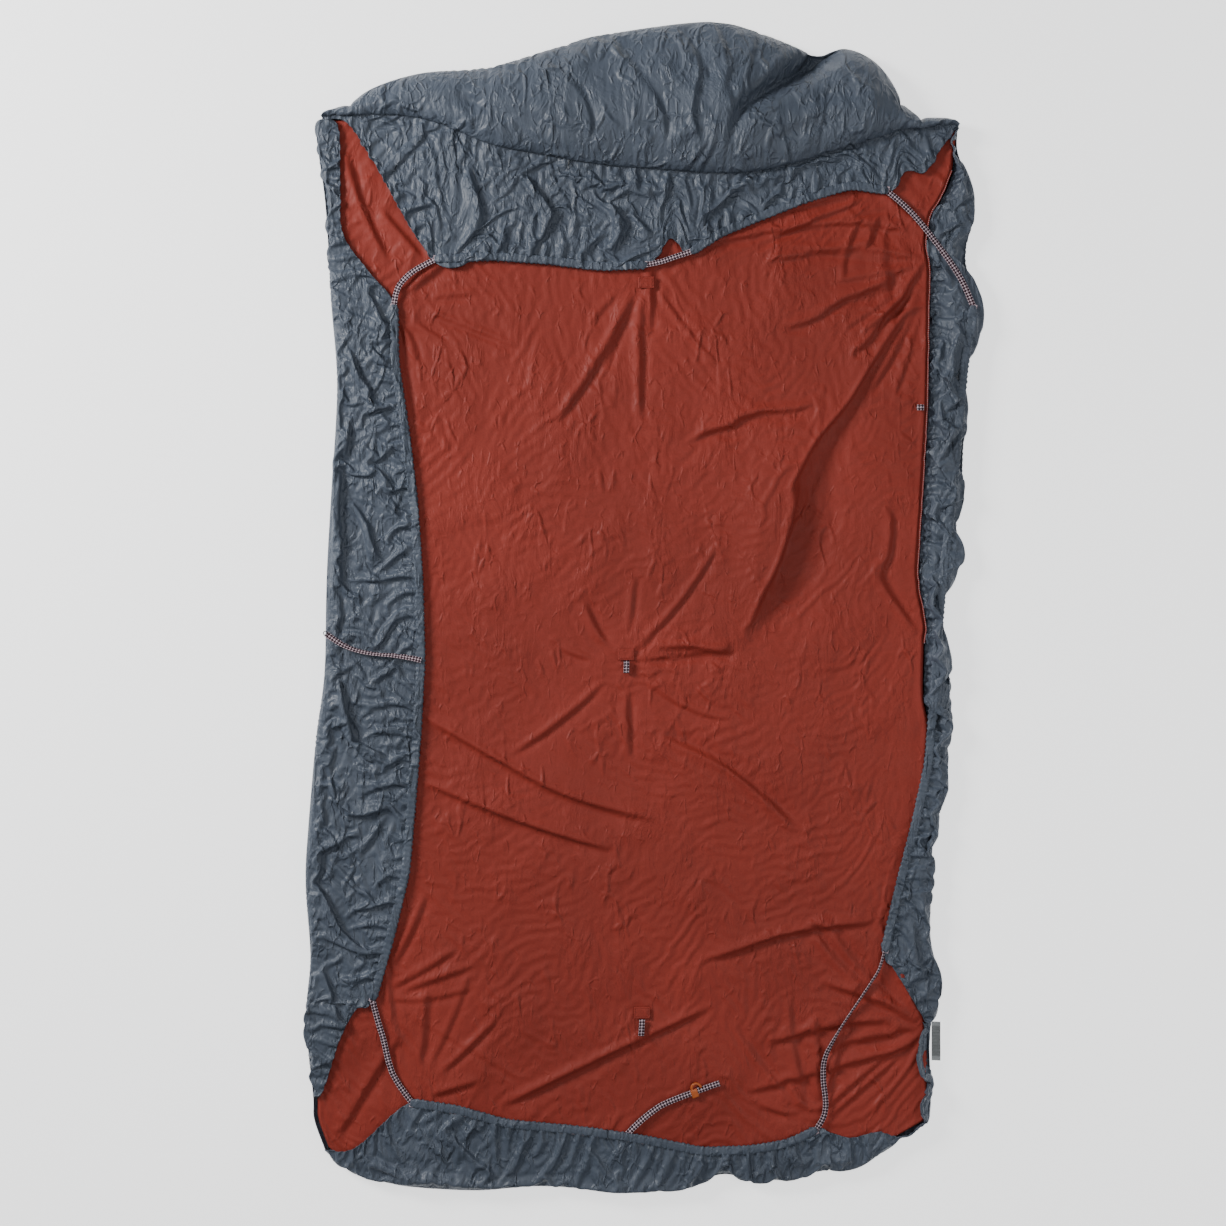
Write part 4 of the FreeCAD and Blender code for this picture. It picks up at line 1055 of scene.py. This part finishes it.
def route_line(points, level):
    """The route as Blender's own NURBS curve of order 3 through its ends, read back as points."""
    place = plan(points)
    curve = bpy.data.curves.new("route", "CURVE")
    curve.dimensions = "3D"
    curve.resolution_u = 24
    spline = curve.splines.new("NURBS")
    spline.points.add(len(place) - 1)
    for point, (x, y) in zip(spline.points, place):
        point.co = (x, y, level, 1)
    spline.order_u = 3
    spline.use_endpoint_u = True
    holder = bpy.data.objects.new("route", curve)
    bpy.context.scene.collection.objects.link(holder)
    bpy.context.view_layer.update()
    mesh = bpy.data.meshes.new_from_object(holder)
    line = np.zeros(len(mesh.vertices) * 3)
    mesh.vertices.foreach_get("co", line)
    bpy.data.objects.remove(holder)
    bpy.data.curves.remove(curve)
    bpy.data.meshes.remove(mesh)
    return line.reshape(-1, 3)


def cad_length(node):
    """Length of a flat CAD tape, whatever its route: its mesh's volume over its width times its thickness."""
    mesh = node.data
    mesh.calc_loop_triangles()
    corners = np.zeros(len(mesh.loop_triangles) * 3, np.int32)
    mesh.loop_triangles.foreach_get("vertices", corners)
    points = np.zeros(len(mesh.vertices) * 3)
    mesh.vertices.foreach_get("co", points)
    a, b, c = points.reshape(-1, 3)[corners.reshape(-1, 3)].transpose(1, 0, 2)
    return abs(float((a * np.cross(b, c)).sum())) / 6 / (TAPE_WIDTH * TAPE_THICKNESS)


def make_tape(name, sizes):
    """A free stretch of flat elastic: a rounded flat section along its route, rolled here and there."""
    line = route_line(TAPE_ROUTES[name], SIDE_TAPE_LEVEL if name == "left_side" else TAPE_LEVEL)
    steps = np.linalg.norm(np.diff(line, axis=0), axis=1)
    share = np.concatenate([[0], np.cumsum(steps)]) / steps.sum()
    fine = np.linspace(0, 1, int(steps.sum() / (1.2 * MM)))
    line = np.stack([np.interp(fine, share, line[:, i]) for i in range(3)], 1)
    keys = np.array(TAPE_ROLLS[name])
    roll = np.radians(np.interp(fine, keys[:, 0], keys[:, 1]))
    beads = 1 + 0.035 * np.cos(2 * math.pi * fine * steps.sum() / sizes.braid_cell)
    tape = swept(name + "_tape", line, oval(TAPE_WIDTH, TAPE_THICKNESS, 18, 3.0), roll=roll, puff=beads)
    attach(tape, "quilt")
    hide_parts(name + "_elastic")
    cad_length(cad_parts[name + "_elastic"])
    return tape


# ------------------------------------------------------------------ small sewn parts
def stitches(name, line, levels, pitch, length, width):
    """Thread along a line: one small faceted bead for each stitch, its ends sunk under the cloth."""
    run = np.linalg.norm(np.diff(line, axis=0), axis=1).sum()
    place = evenly(np.column_stack([line, np.broadcast_to(levels, len(line))]), max(int(run / pitch), 3))
    along = np.gradient(place[:, :2], axis=0)
    along /= np.linalg.norm(along, axis=1, keepdims=True) + TINY
    across = np.stack([along[:, 1], -along[:, 0]], 1)
    rings = [(-0.5, 0.25, -0.5), (-0.25, 0.9, 0), (0.25, 0.9, 0), (0.5, 0.25, -0.5)]
    turn = np.linspace(0, 2 * math.pi, 6, endpoint=False)
    shape = np.array([(s * length, np.cos(t) * width / 2 * r, (np.sin(t) * r + sink) * width / 2)
                      for s, r, sink in rings for t in turn])
    points = np.zeros((len(place), len(shape), 3))
    points[..., :2] = place[:, None, :2] + shape[None, :, :1] * along[:, None]
    points[..., :2] += shape[None, :, 1:2] * across[:, None]
    points[..., 2] = place[:, None, 2] + shape[None, :, 2]
    quads, ends = tube_faces(len(rings), len(turn))
    offsets = np.arange(len(place))[:, None, None] * len(shape)
    caps = [end + k * len(shape) for k in range(len(place)) for end in ends]
    return add_mesh(name, points, (quads[None] + offsets).reshape(-1, 4), caps)


def plate(low, high, rows, columns):
    """Grid of plan points over a rectangle."""
    x, y = np.meshgrid(np.linspace(low.x, high.x, columns), np.linspace(low.y, high.y, rows))
    return np.stack([x, y], -1)


def make_patch(node, seed):
    """A small piece of lining cloth, sewn down near its edge by a line of stitches, which pulls it in."""
    low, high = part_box(node)
    grid = plate(low, high, 50, 64)
    rng = np.random.default_rng(seed)
    away = np.minimum(np.minimum(grid[..., 0] - low.x, high.x - grid[..., 0]),
                      np.minimum(grid[..., 1] - low.y, high.y - grid[..., 1]))
    seam = 2.6 * MM
    edge_drop = 0.9 * MM * np.exp(-away / (0.8 * MM))
    seam_drop = 0.45 * MM * np.exp(-((away - seam) / (0.8 * MM)) ** 2)
    level = high.z + 0.25 * MM - edge_drop - seam_drop
    level += 0.25 * MM * wander(grid, 6 * MM, rng) * (away > seam) + 0.12 * MM * wander(grid, 2 * MM, rng)
    patch_cloth = closed_sheet(node + "_cloth", np.concatenate([grid, level[..., None]], -1),
                               [(-0.2 * MM, low.z - 0.3 * MM)], True)
    corners = [(low.x + seam, low.y + seam), (high.x - seam, low.y + seam), (high.x - seam, high.y - seam),
               (low.x + seam, high.y - seam), (low.x + seam, low.y + seam)]
    thread = stitches(node + "_thread", evenly(np.array(corners), 60), high.z, 2.6 * MM, 2.0 * MM, 0.5 * MM)
    for piece in (patch_cloth, thread):
        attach(piece, "quilt")
    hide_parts(node)
    return patch_cloth, thread


# Tie loops: node, body, direction that the loop points in, and how far its free end leans sideways.
TIE_LOOPS = {
    "centre_tie_loop": ("centre_loop", (0, -1), 0.5),
    "foot_tie_loop": ("foot_loop", (0, -1), 1.5),
    "edge_tie_loop": ("edge_loop", (-1, 0), 0.0),
}


def make_loop(node):
    """A tie loop: flat tape along its lower run, round the tip by a half circle, and back to the root."""
    body, direction, lean = TIE_LOOPS[node]
    low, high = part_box(node)
    middle = (np.array(low) + np.array(high)) / 2
    half = (np.array(high) - np.array(low)) / 2
    direction = np.array([*direction, 0.0])
    across = np.array([direction[1], -direction[0], 0.0])
    thickness = TAPE_THICKNESS * 0.6
    radius = half[2] - thickness / 2 - 0.1 * MM
    reach = float(np.abs(direction) @ half) - radius - thickness / 2
    turn = np.linspace(-math.pi / 2, math.pi / 2, 17)
    run = np.linspace(-reach, reach, 14)
    side = np.concatenate([np.stack([run[:-1], np.full(13, -radius)], 1),
                           np.stack([reach + radius * np.cos(turn), radius * np.sin(turn)], 1),
                           np.stack([run[::-1][1:], np.full(13, radius)], 1),
                           np.stack([-reach - radius * np.cos(turn[1:-1]), -radius * np.sin(turn[1:-1])], 1)])
    side = np.concatenate([side, side[:1]])
    sway = lean * MM * np.clip((side[:, 0] + reach) / (2 * reach), 0, 1)
    line = middle + side[:, :1] * direction + side[:, 1:] * np.array([0, 0, 1.0]) + sway[:, None] * across
    loop = swept(node + "_tape", line, oval(TAPE_WIDTH * 0.96, thickness, 16, 3.0), across=across)
    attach(loop, body)
    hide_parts(node)
    return loop


def make_piping():
    """The lining's rolled edge on the right, and the pale thread that shows along it."""
    low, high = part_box("right_edge_piping")
    count = 420
    line = through(plan(LINING_RIGHT[8:-1]), count)
    line[:, 0] -= 1.0 * MM
    level = (low.z + high.z) / 2 - 0.2 * MM
    place = np.column_stack([line, np.full(len(line), level)])
    rng = np.random.default_rng(61)
    knots = np.arange(0, count, 6)
    place[:, 0] += 0.35 * MM * np.interp(np.arange(count), knots, rng.normal(0, 1, len(knots)))
    roll = swept("right_edge_roll", place, oval(2.6 * MM, 2.0 * MM, 12, 2.2))
    thread = stitches("right_edge_thread", place[:, :2], level + 1.0 * MM, 3.4 * MM, 2.3 * MM, 0.9 * MM)
    for piece in (roll, thread):
        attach(piece, "quilt")
    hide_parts("right_edge_piping")
    return roll, thread


def make_label():
    """The care label: a strip of thin tape that curls up slightly towards its free side."""
    low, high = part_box("care_label")
    grid = plate(low, high, 90, 24)
    x = (grid[..., 0] - low.x) / (high.x - low.x)
    y = (grid[..., 1] - low.y) / (high.y - low.y)
    level = low.z + 0.2 * MM + 2.2 * MM * x**2 + 0.5 * MM * x * np.sin(7 * y) + 0.1 * MM * np.cos(40 * y)
    label = add_cloth("care_label_tape", np.concatenate([grid, level[..., None]], -1), 0.35 * MM)
    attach(label, "label")
    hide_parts("care_label")
    return label


# ------------------------------------------------------------------ hook
def make_hook():
    """The moulded hook: a rounded sleeve round the tape, and an open arm bent in a half circle from its side.

    Both are sections carried along a line in the hook's own frame, whose X runs along the tape."""
    route = plan(TAPE_ROUTES["foot_pull"])
    along = (route[-1] - route[-2]) / np.linalg.norm(route[-1] - route[-2])
    across = np.array([-along[1], along[0]])
    low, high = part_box("pull_hook")
    height = high.z - low.z
    arm_width, eye, overhang = 4.2 * MM, 6.0 * MM, 1.0 * MM
    side = TAPE_WIDTH / 2 + 2.5 * MM
    back = -(eye + arm_width + overhang)
    corners = np.array([(x, y) for x in (back, eye + arm_width) for y in (-side, side + eye + arm_width)])
    spread = corners[:, :1] * along + corners[:, 1:] * across
    centre = np.array([(low.x + high.x) / 2, (low.y + high.y) / 2]) - (spread.min(0) + spread.max(0)) / 2
    middle = (low.z + high.z) / 2

    def placed(line):
        """Points of the hook's own frame in the row frame."""
        plan_points = centre + line[:, :1] * along + line[:, 1:2] * across
        return np.column_stack([plan_points, middle + line[:, 2]])

    corners = 40
    length, rounding = 12 * MM, 0.9 * MM
    outer = oval(2 * side, height, corners, 5.0)
    inner = oval(TAPE_WIDTH + 0.6 * MM, TAPE_THICKNESS + 0.6 * MM, corners, 5.0)
    # Each ring of the sleeve: how full it is, its place along the tape, and its share of the way out.
    profile = [(0, 0, 0), (0, 0, 0.6), (0.5, 0, 1), (1, rounding, 1), (1, length - rounding, 1),
               (0.5, length, 1), (0, length, 0.6), (0, length, 0), (0, length, 0), (0, 0, 0)]
    rings = []
    for full, place, outward in profile:
        ring = inner * (1 - outward) + outer * (1 - 0.09 * (1 - full)) * outward
        rings.append(placed(np.column_stack([np.full(corners, back + place), ring])))
    rings = np.array(rings)
    index = np.arange(len(rings) * corners).reshape(-1, corners)
    down, after = np.roll(index, -1, 0), np.roll(index, -1, 1)
    quads = np.stack([index, after, np.roll(down, -1, 1), down], -1).reshape(-1, 4)
    sleeve = add_mesh("hook_sleeve", rings, quads)

    turn = np.linspace(math.pi, 0, 40)
    middle_radius = eye + arm_width / 2
    start = np.linspace(TAPE_WIDTH / 2 + 1.2 * MM, side, 6)[:-1]
    path = np.concatenate([np.column_stack([np.full(5, -middle_radius), start]),
                           middle_radius * np.column_stack([np.cos(turn), np.sin(turn)]) + (0, side)])
    tip = np.linspace(0, 1, 8)[1:]
    path = np.concatenate([path, np.column_stack([np.full(7, middle_radius), side - tip * arm_width * 0.5])])
    thick = np.concatenate([np.full(len(path) - 7, 1.0), np.sqrt(np.clip(1 - tip**2, 0.02, 1))])
    line = placed(np.column_stack([path, np.zeros(len(path))]))
    arm = swept("hook_arm", line, oval(arm_width, height - 0.8 * MM, 20, 3.2), puff=thick)
    for piece in (sleeve, arm):
        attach(piece, "hook")
    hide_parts("pull_hook")
    return sleeve, arm


def make_side_ring():
    """The small ring that anchors the side elastic: a round section carried once round a circle."""
    x, y = plan(TAPE_ROUTES["left_side"][0])
    turn = np.linspace(0, 2 * math.pi, 33)
    radius = 3.4 * MM
    line = np.column_stack([x - 0.5 * MM + radius * np.cos(turn), y + 1 * MM + radius * np.sin(turn),
                            np.full(len(turn), SIDE_TAPE_LEVEL + 1.6 * MM)])
    ring = swept("side_elastic_ring", line, oval(1.5 * MM, 1.5 * MM, 10))
    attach(ring, "quilt")
    return ring


# ------------------------------------------------------------------ sizes and colours
def colour(name, description, red, green, blue):
    return bpy.props.FloatVectorProperty(name=name, description=description, subtype="COLOR", size=3, min=0,
                                         max=1, default=(red, green, blue))


def share_of(name, description, value):
    return bpy.props.FloatProperty(name=name, description=description, subtype="FACTOR", default=value,
                                   min=0, max=0.3, precision=3)


class QuiltSizes(bpy.types.PropertyGroup):
    """Sizes that change how much cloth there is and how the small parts look"""

    lining_slack: share_of("Lining slack", "Spare cloth of the lining, as a share of its size", 0.013)
    flap_slack: share_of("Flap slack", "Spare cloth of the flaps, as a share of their size", 0.075)
    hem_gather: share_of("Hem gather", "Extra cloth along an elastic hem, as a share of its length", 0.16)
    baffle_slack: share_of("Baffle slack", "Spare cloth of the puffed end, as a share of its size", 0.022)
    baffle_height: bpy.props.FloatProperty(name="Baffle height", default=0.070, min=0.03, max=0.09,
                                           unit="LENGTH",
                                           description="Crest of the puffed head end above the ground")
    braid_cell: bpy.props.FloatProperty(name="Braid cell", default=0.0052, min=0.001, max=0.01, precision=4,
                                        unit="LENGTH",
                                        description="Length of one diamond of the elastic's weave")


class QuiltColours(bpy.types.PropertyGroup):
    """Colours of the cloths, elastics and plastic"""

    lining: colour("Lining", "Red taffeta of the inner side", 0.250, 0.032, 0.021)
    shell: colour("Shell", "Blue-grey satin of the outer side", 0.068, 0.084, 0.112)
    tape_light: colour("Elastic, light", "Light yarns of the elastic", 0.55, 0.42, 0.46)
    tape_dark: colour("Elastic, dark", "Dark yarns of the elastic", 0.030, 0.010, 0.018)
    hook: colour("Hook", "Moulded hook", 0.42, 0.085, 0.01)
    thread: colour("Edge thread", "Pale thread at the lining's edge", 0.42, 0.36, 0.38)
    label: colour("Label", "Care label", 0.25, 0.26, 0.26)


# ------------------------------------------------------------------ operators
def build(make, *values):
    """Runs one maker, and stops the script if it gave nothing."""
    made = make(*values)
    if not made:
        raise RuntimeError("a piece was not made")
    return made if isinstance(made, tuple) else (made,)


def dress(pieces, material):
    for piece in pieces:
        piece.data.materials.clear()
        piece.data.materials.append(material)


class QUILT_OT_elastics(bpy.types.Operator):
    """Lay the seven free stretches of flat elastic, and finish the five that run inside the hems"""

    bl_idname = "quilt.elastics"
    bl_label = "Elastics"

    def execute(self, context):
        colours, sizes = context.scene.quilt_colours, context.scene.quilt_sizes
        braid = braided_tape("braided_elastic", colours.tape_light, colours.tape_dark, sizes.braid_cell)
        for name in TAPE_ROUTES:
            dress(build(make_tape, name, sizes), braid)
        hidden = plain_material("hem_elastic", colours.tape_light, 0.8, 900, 0.0003, 0.2)
        dress([node for name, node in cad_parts.items() if "hem_elastic" in name], hidden)
        return {"FINISHED"}


class QUILT_OT_body(bpy.types.Operator):
    """Make the quilted body: the lining with the fill under it, and the shell it lies on"""

    bl_idname = "quilt.body"
    bl_label = "Quilted body"

    def execute(self, context):
        colours = context.scene.quilt_colours
        lining = build(make_lining, context.scene.quilt_sizes)
        dress(lining, crinkled_cloth("lining_taffeta", colours.lining, 0.8, 0.58, 0.2, 0.6, 0.52))
        shell = crinkled_cloth("shell_satin", colours.shell, 1.3, 0.50, 0.4, -0.3, 0.42)
        dress(build(make_shell_under), shell)
        return {"FINISHED"}


class QUILT_OT_flaps(bpy.types.Operator):
    """Drape the gathered flaps of shell cloth round the sides"""

    bl_idname = "quilt.flaps"
    bl_label = "Gathered flaps"

    def execute(self, context):
        for flap in (LEFT_FLAP, FOOT_FLAP, HEAD_FLAP, RIGHT_TURNOVER, RIGHT_BUNCH, RIGHT_FOOT_STRIP):
            dress(build(make_flap, flap, context.scene.quilt_sizes), bpy.data.materials["shell_satin"])
        return {"FINISHED"}


class QUILT_OT_baffle(bpy.types.Operator):
    """Puff up the head end"""

    bl_idname = "quilt.baffle"
    bl_label = "Puffed head end"

    def execute(self, context):
        dress(build(make_baffle, context.scene.quilt_sizes), bpy.data.materials["shell_satin"])
        return {"FINISHED"}


class QUILT_OT_hems(bpy.types.Operator):
    """Roll the five elastic tunnels along the flaps"""

    bl_idname = "quilt.hems"
    bl_label = "Hem tunnels"

    def execute(self, context):
        rng = np.random.default_rng(71)
        for name, line in HEM_LINES.items():
            dress(build(make_hem, name, line, rng), bpy.data.materials["shell_satin"])
        return {"FINISHED"}


class QUILT_OT_sewn_parts(bpy.types.Operator):
    """Sew on the patches, tie loops, edge piping and care label"""

    bl_idname = "quilt.sewn_parts"
    bl_label = "Sewn parts"

    def execute(self, context):
        colours = context.scene.quilt_colours
        thread = plain_material("lining_thread", shade(colours.lining, 1.15), 0.6, 1500, 0.0001)
        for seed, node in enumerate(("head_patch", "centre_patch", "foot_patch"), 81):
            cloth, line = build(make_patch, node, seed)
            dress([cloth], bpy.data.materials["lining_taffeta"])
            dress([line], thread)
        for node in TIE_LOOPS:
            dress(build(make_loop, node), bpy.data.materials["braided_elastic"])
        roll, line = build(make_piping)
        dress([roll], bpy.data.materials["lining_taffeta"])
        dress([line], plain_material("edge_thread", colours.thread, 0.6, 1500, 0.0001))
        dress(build(make_label), label_material("label_tape", colours.label))
        return {"FINISHED"}


class QUILT_OT_hook(bpy.types.Operator):
    """Mould the hook on the foot pull and the ring of the side elastic"""

    bl_idname = "quilt.hook"
    bl_label = "Hook and ring"

    def execute(self, context):
        orange = context.scene.quilt_colours.hook
        dress(build(make_hook), plain_material("moulded_nylon", orange, 0.4, 600, 0.00006, 0.5, 0.2))
        dress(build(make_side_ring), plain_material("ring_plastic", (0.02, 0.02, 0.025), 0.4, 600, 0.00006))
        return {"FINISHED"}


CAMERA_HEIGHT = 2.98
CAMERA_CENTRE = (-0.0516, -0.0079)


class QUILT_OT_stage(bpy.types.Operator):
    """Set the pale floor, the soft lights and the camera straight above"""

    bl_idname = "quilt.stage"
    bl_label = "Stage"

    def execute(self, context):
        scene = context.scene
        lens = bpy.data.cameras.new("overhead_camera")
        lens.lens = 50
        lens.sensor_width = 36
        camera = bpy.data.objects.new("overhead_camera", lens)
        camera.location = (*CAMERA_CENTRE, CAMERA_HEIGHT)
        scene.collection.objects.link(camera)
        scene.camera = camera

        half, level = 4.0, -0.3 * MM
        corners = [(-half, -half, level), (half, -half, level), (half, half, level), (-half, half, level)]
        floor = add_mesh("floor", corners, np.array([[0, 1, 2, 3]]))
        paper, tree, surface = new_material("floor_paper")
        feed(tree, surface, {"Base Color": (0.93, 0.93, 0.93, 1), "Roughness": 0.95,
                             "Specular IOR Level": 0.1, "Emission Color": (1, 1, 1, 1),
                             "Emission Strength": 1.3})
        dress([floor], paper)

        lights = [("key", (-3.0, 1.5, 1.7), 1.0, 155), ("right_fill", (2.6, -0.8, 2.2), 1.6, 22),
                  ("overhead", (0.2, 0.2, 3.6), 2.6, 30)]
        for name, place, side, power in lights:
            lamp = bpy.data.lights.new(name, "AREA")
            lamp.size = side
            lamp.energy = power
            holder = bpy.data.objects.new(name, lamp)
            holder.location = place
            aim = -np.array(place)
            tilt = math.acos(-aim[2] / np.linalg.norm(aim))
            holder.rotation_euler = (tilt, 0, math.atan2(aim[1], aim[0]) - math.pi / 2)
            scene.collection.objects.link(holder)
        world = bpy.data.worlds.new("soft_room")
        scene.world = world
        world.use_nodes = True
        backdrop = world.node_tree.nodes["Background"]
        backdrop.inputs["Color"].default_value = (0.9, 0.95, 1.0, 1)
        backdrop.inputs["Strength"].default_value = 0.22
        return {"FINISHED"}


STEPS = (QUILT_OT_stage, QUILT_OT_elastics, QUILT_OT_body, QUILT_OT_flaps, QUILT_OT_baffle, QUILT_OT_hems,
         QUILT_OT_sewn_parts, QUILT_OT_hook)


class QUILT_PT_panel(bpy.types.Panel):
    """The quilt's sizes, colours and building steps"""

    bl_idname = "QUILT_PT_panel"
    bl_label = "Camp quilt"
    bl_space_type = "VIEW_3D"
    bl_region_type = "UI"
    bl_category = "Camp quilt"

    def draw(self, context):
        column = self.layout.column()
        for group in (context.scene.quilt_sizes, context.scene.quilt_colours):
            for name in group.__annotations__:
                column.prop(group, name)
        for step in STEPS:
            column.operator(step.bl_idname)


CLASSES = (QuiltSizes, QuiltColours, *STEPS, QUILT_PT_panel)


def register():
    for cls in CLASSES:
        bpy.utils.register_class(cls)
    bpy.types.Scene.quilt_sizes = bpy.props.PointerProperty(type=QuiltSizes)
    bpy.types.Scene.quilt_colours = bpy.props.PointerProperty(type=QuiltColours)


def unregister():
    del bpy.types.Scene.quilt_colours
    del bpy.types.Scene.quilt_sizes
    for cls in reversed(CLASSES):
        bpy.utils.unregister_class(cls)


def main():
    register()
    for step in STEPS:
        category, name = step.bl_idname.split(".")
        getattr(getattr(bpy.ops, category), name)()


if __name__ == "__main__":
    main()
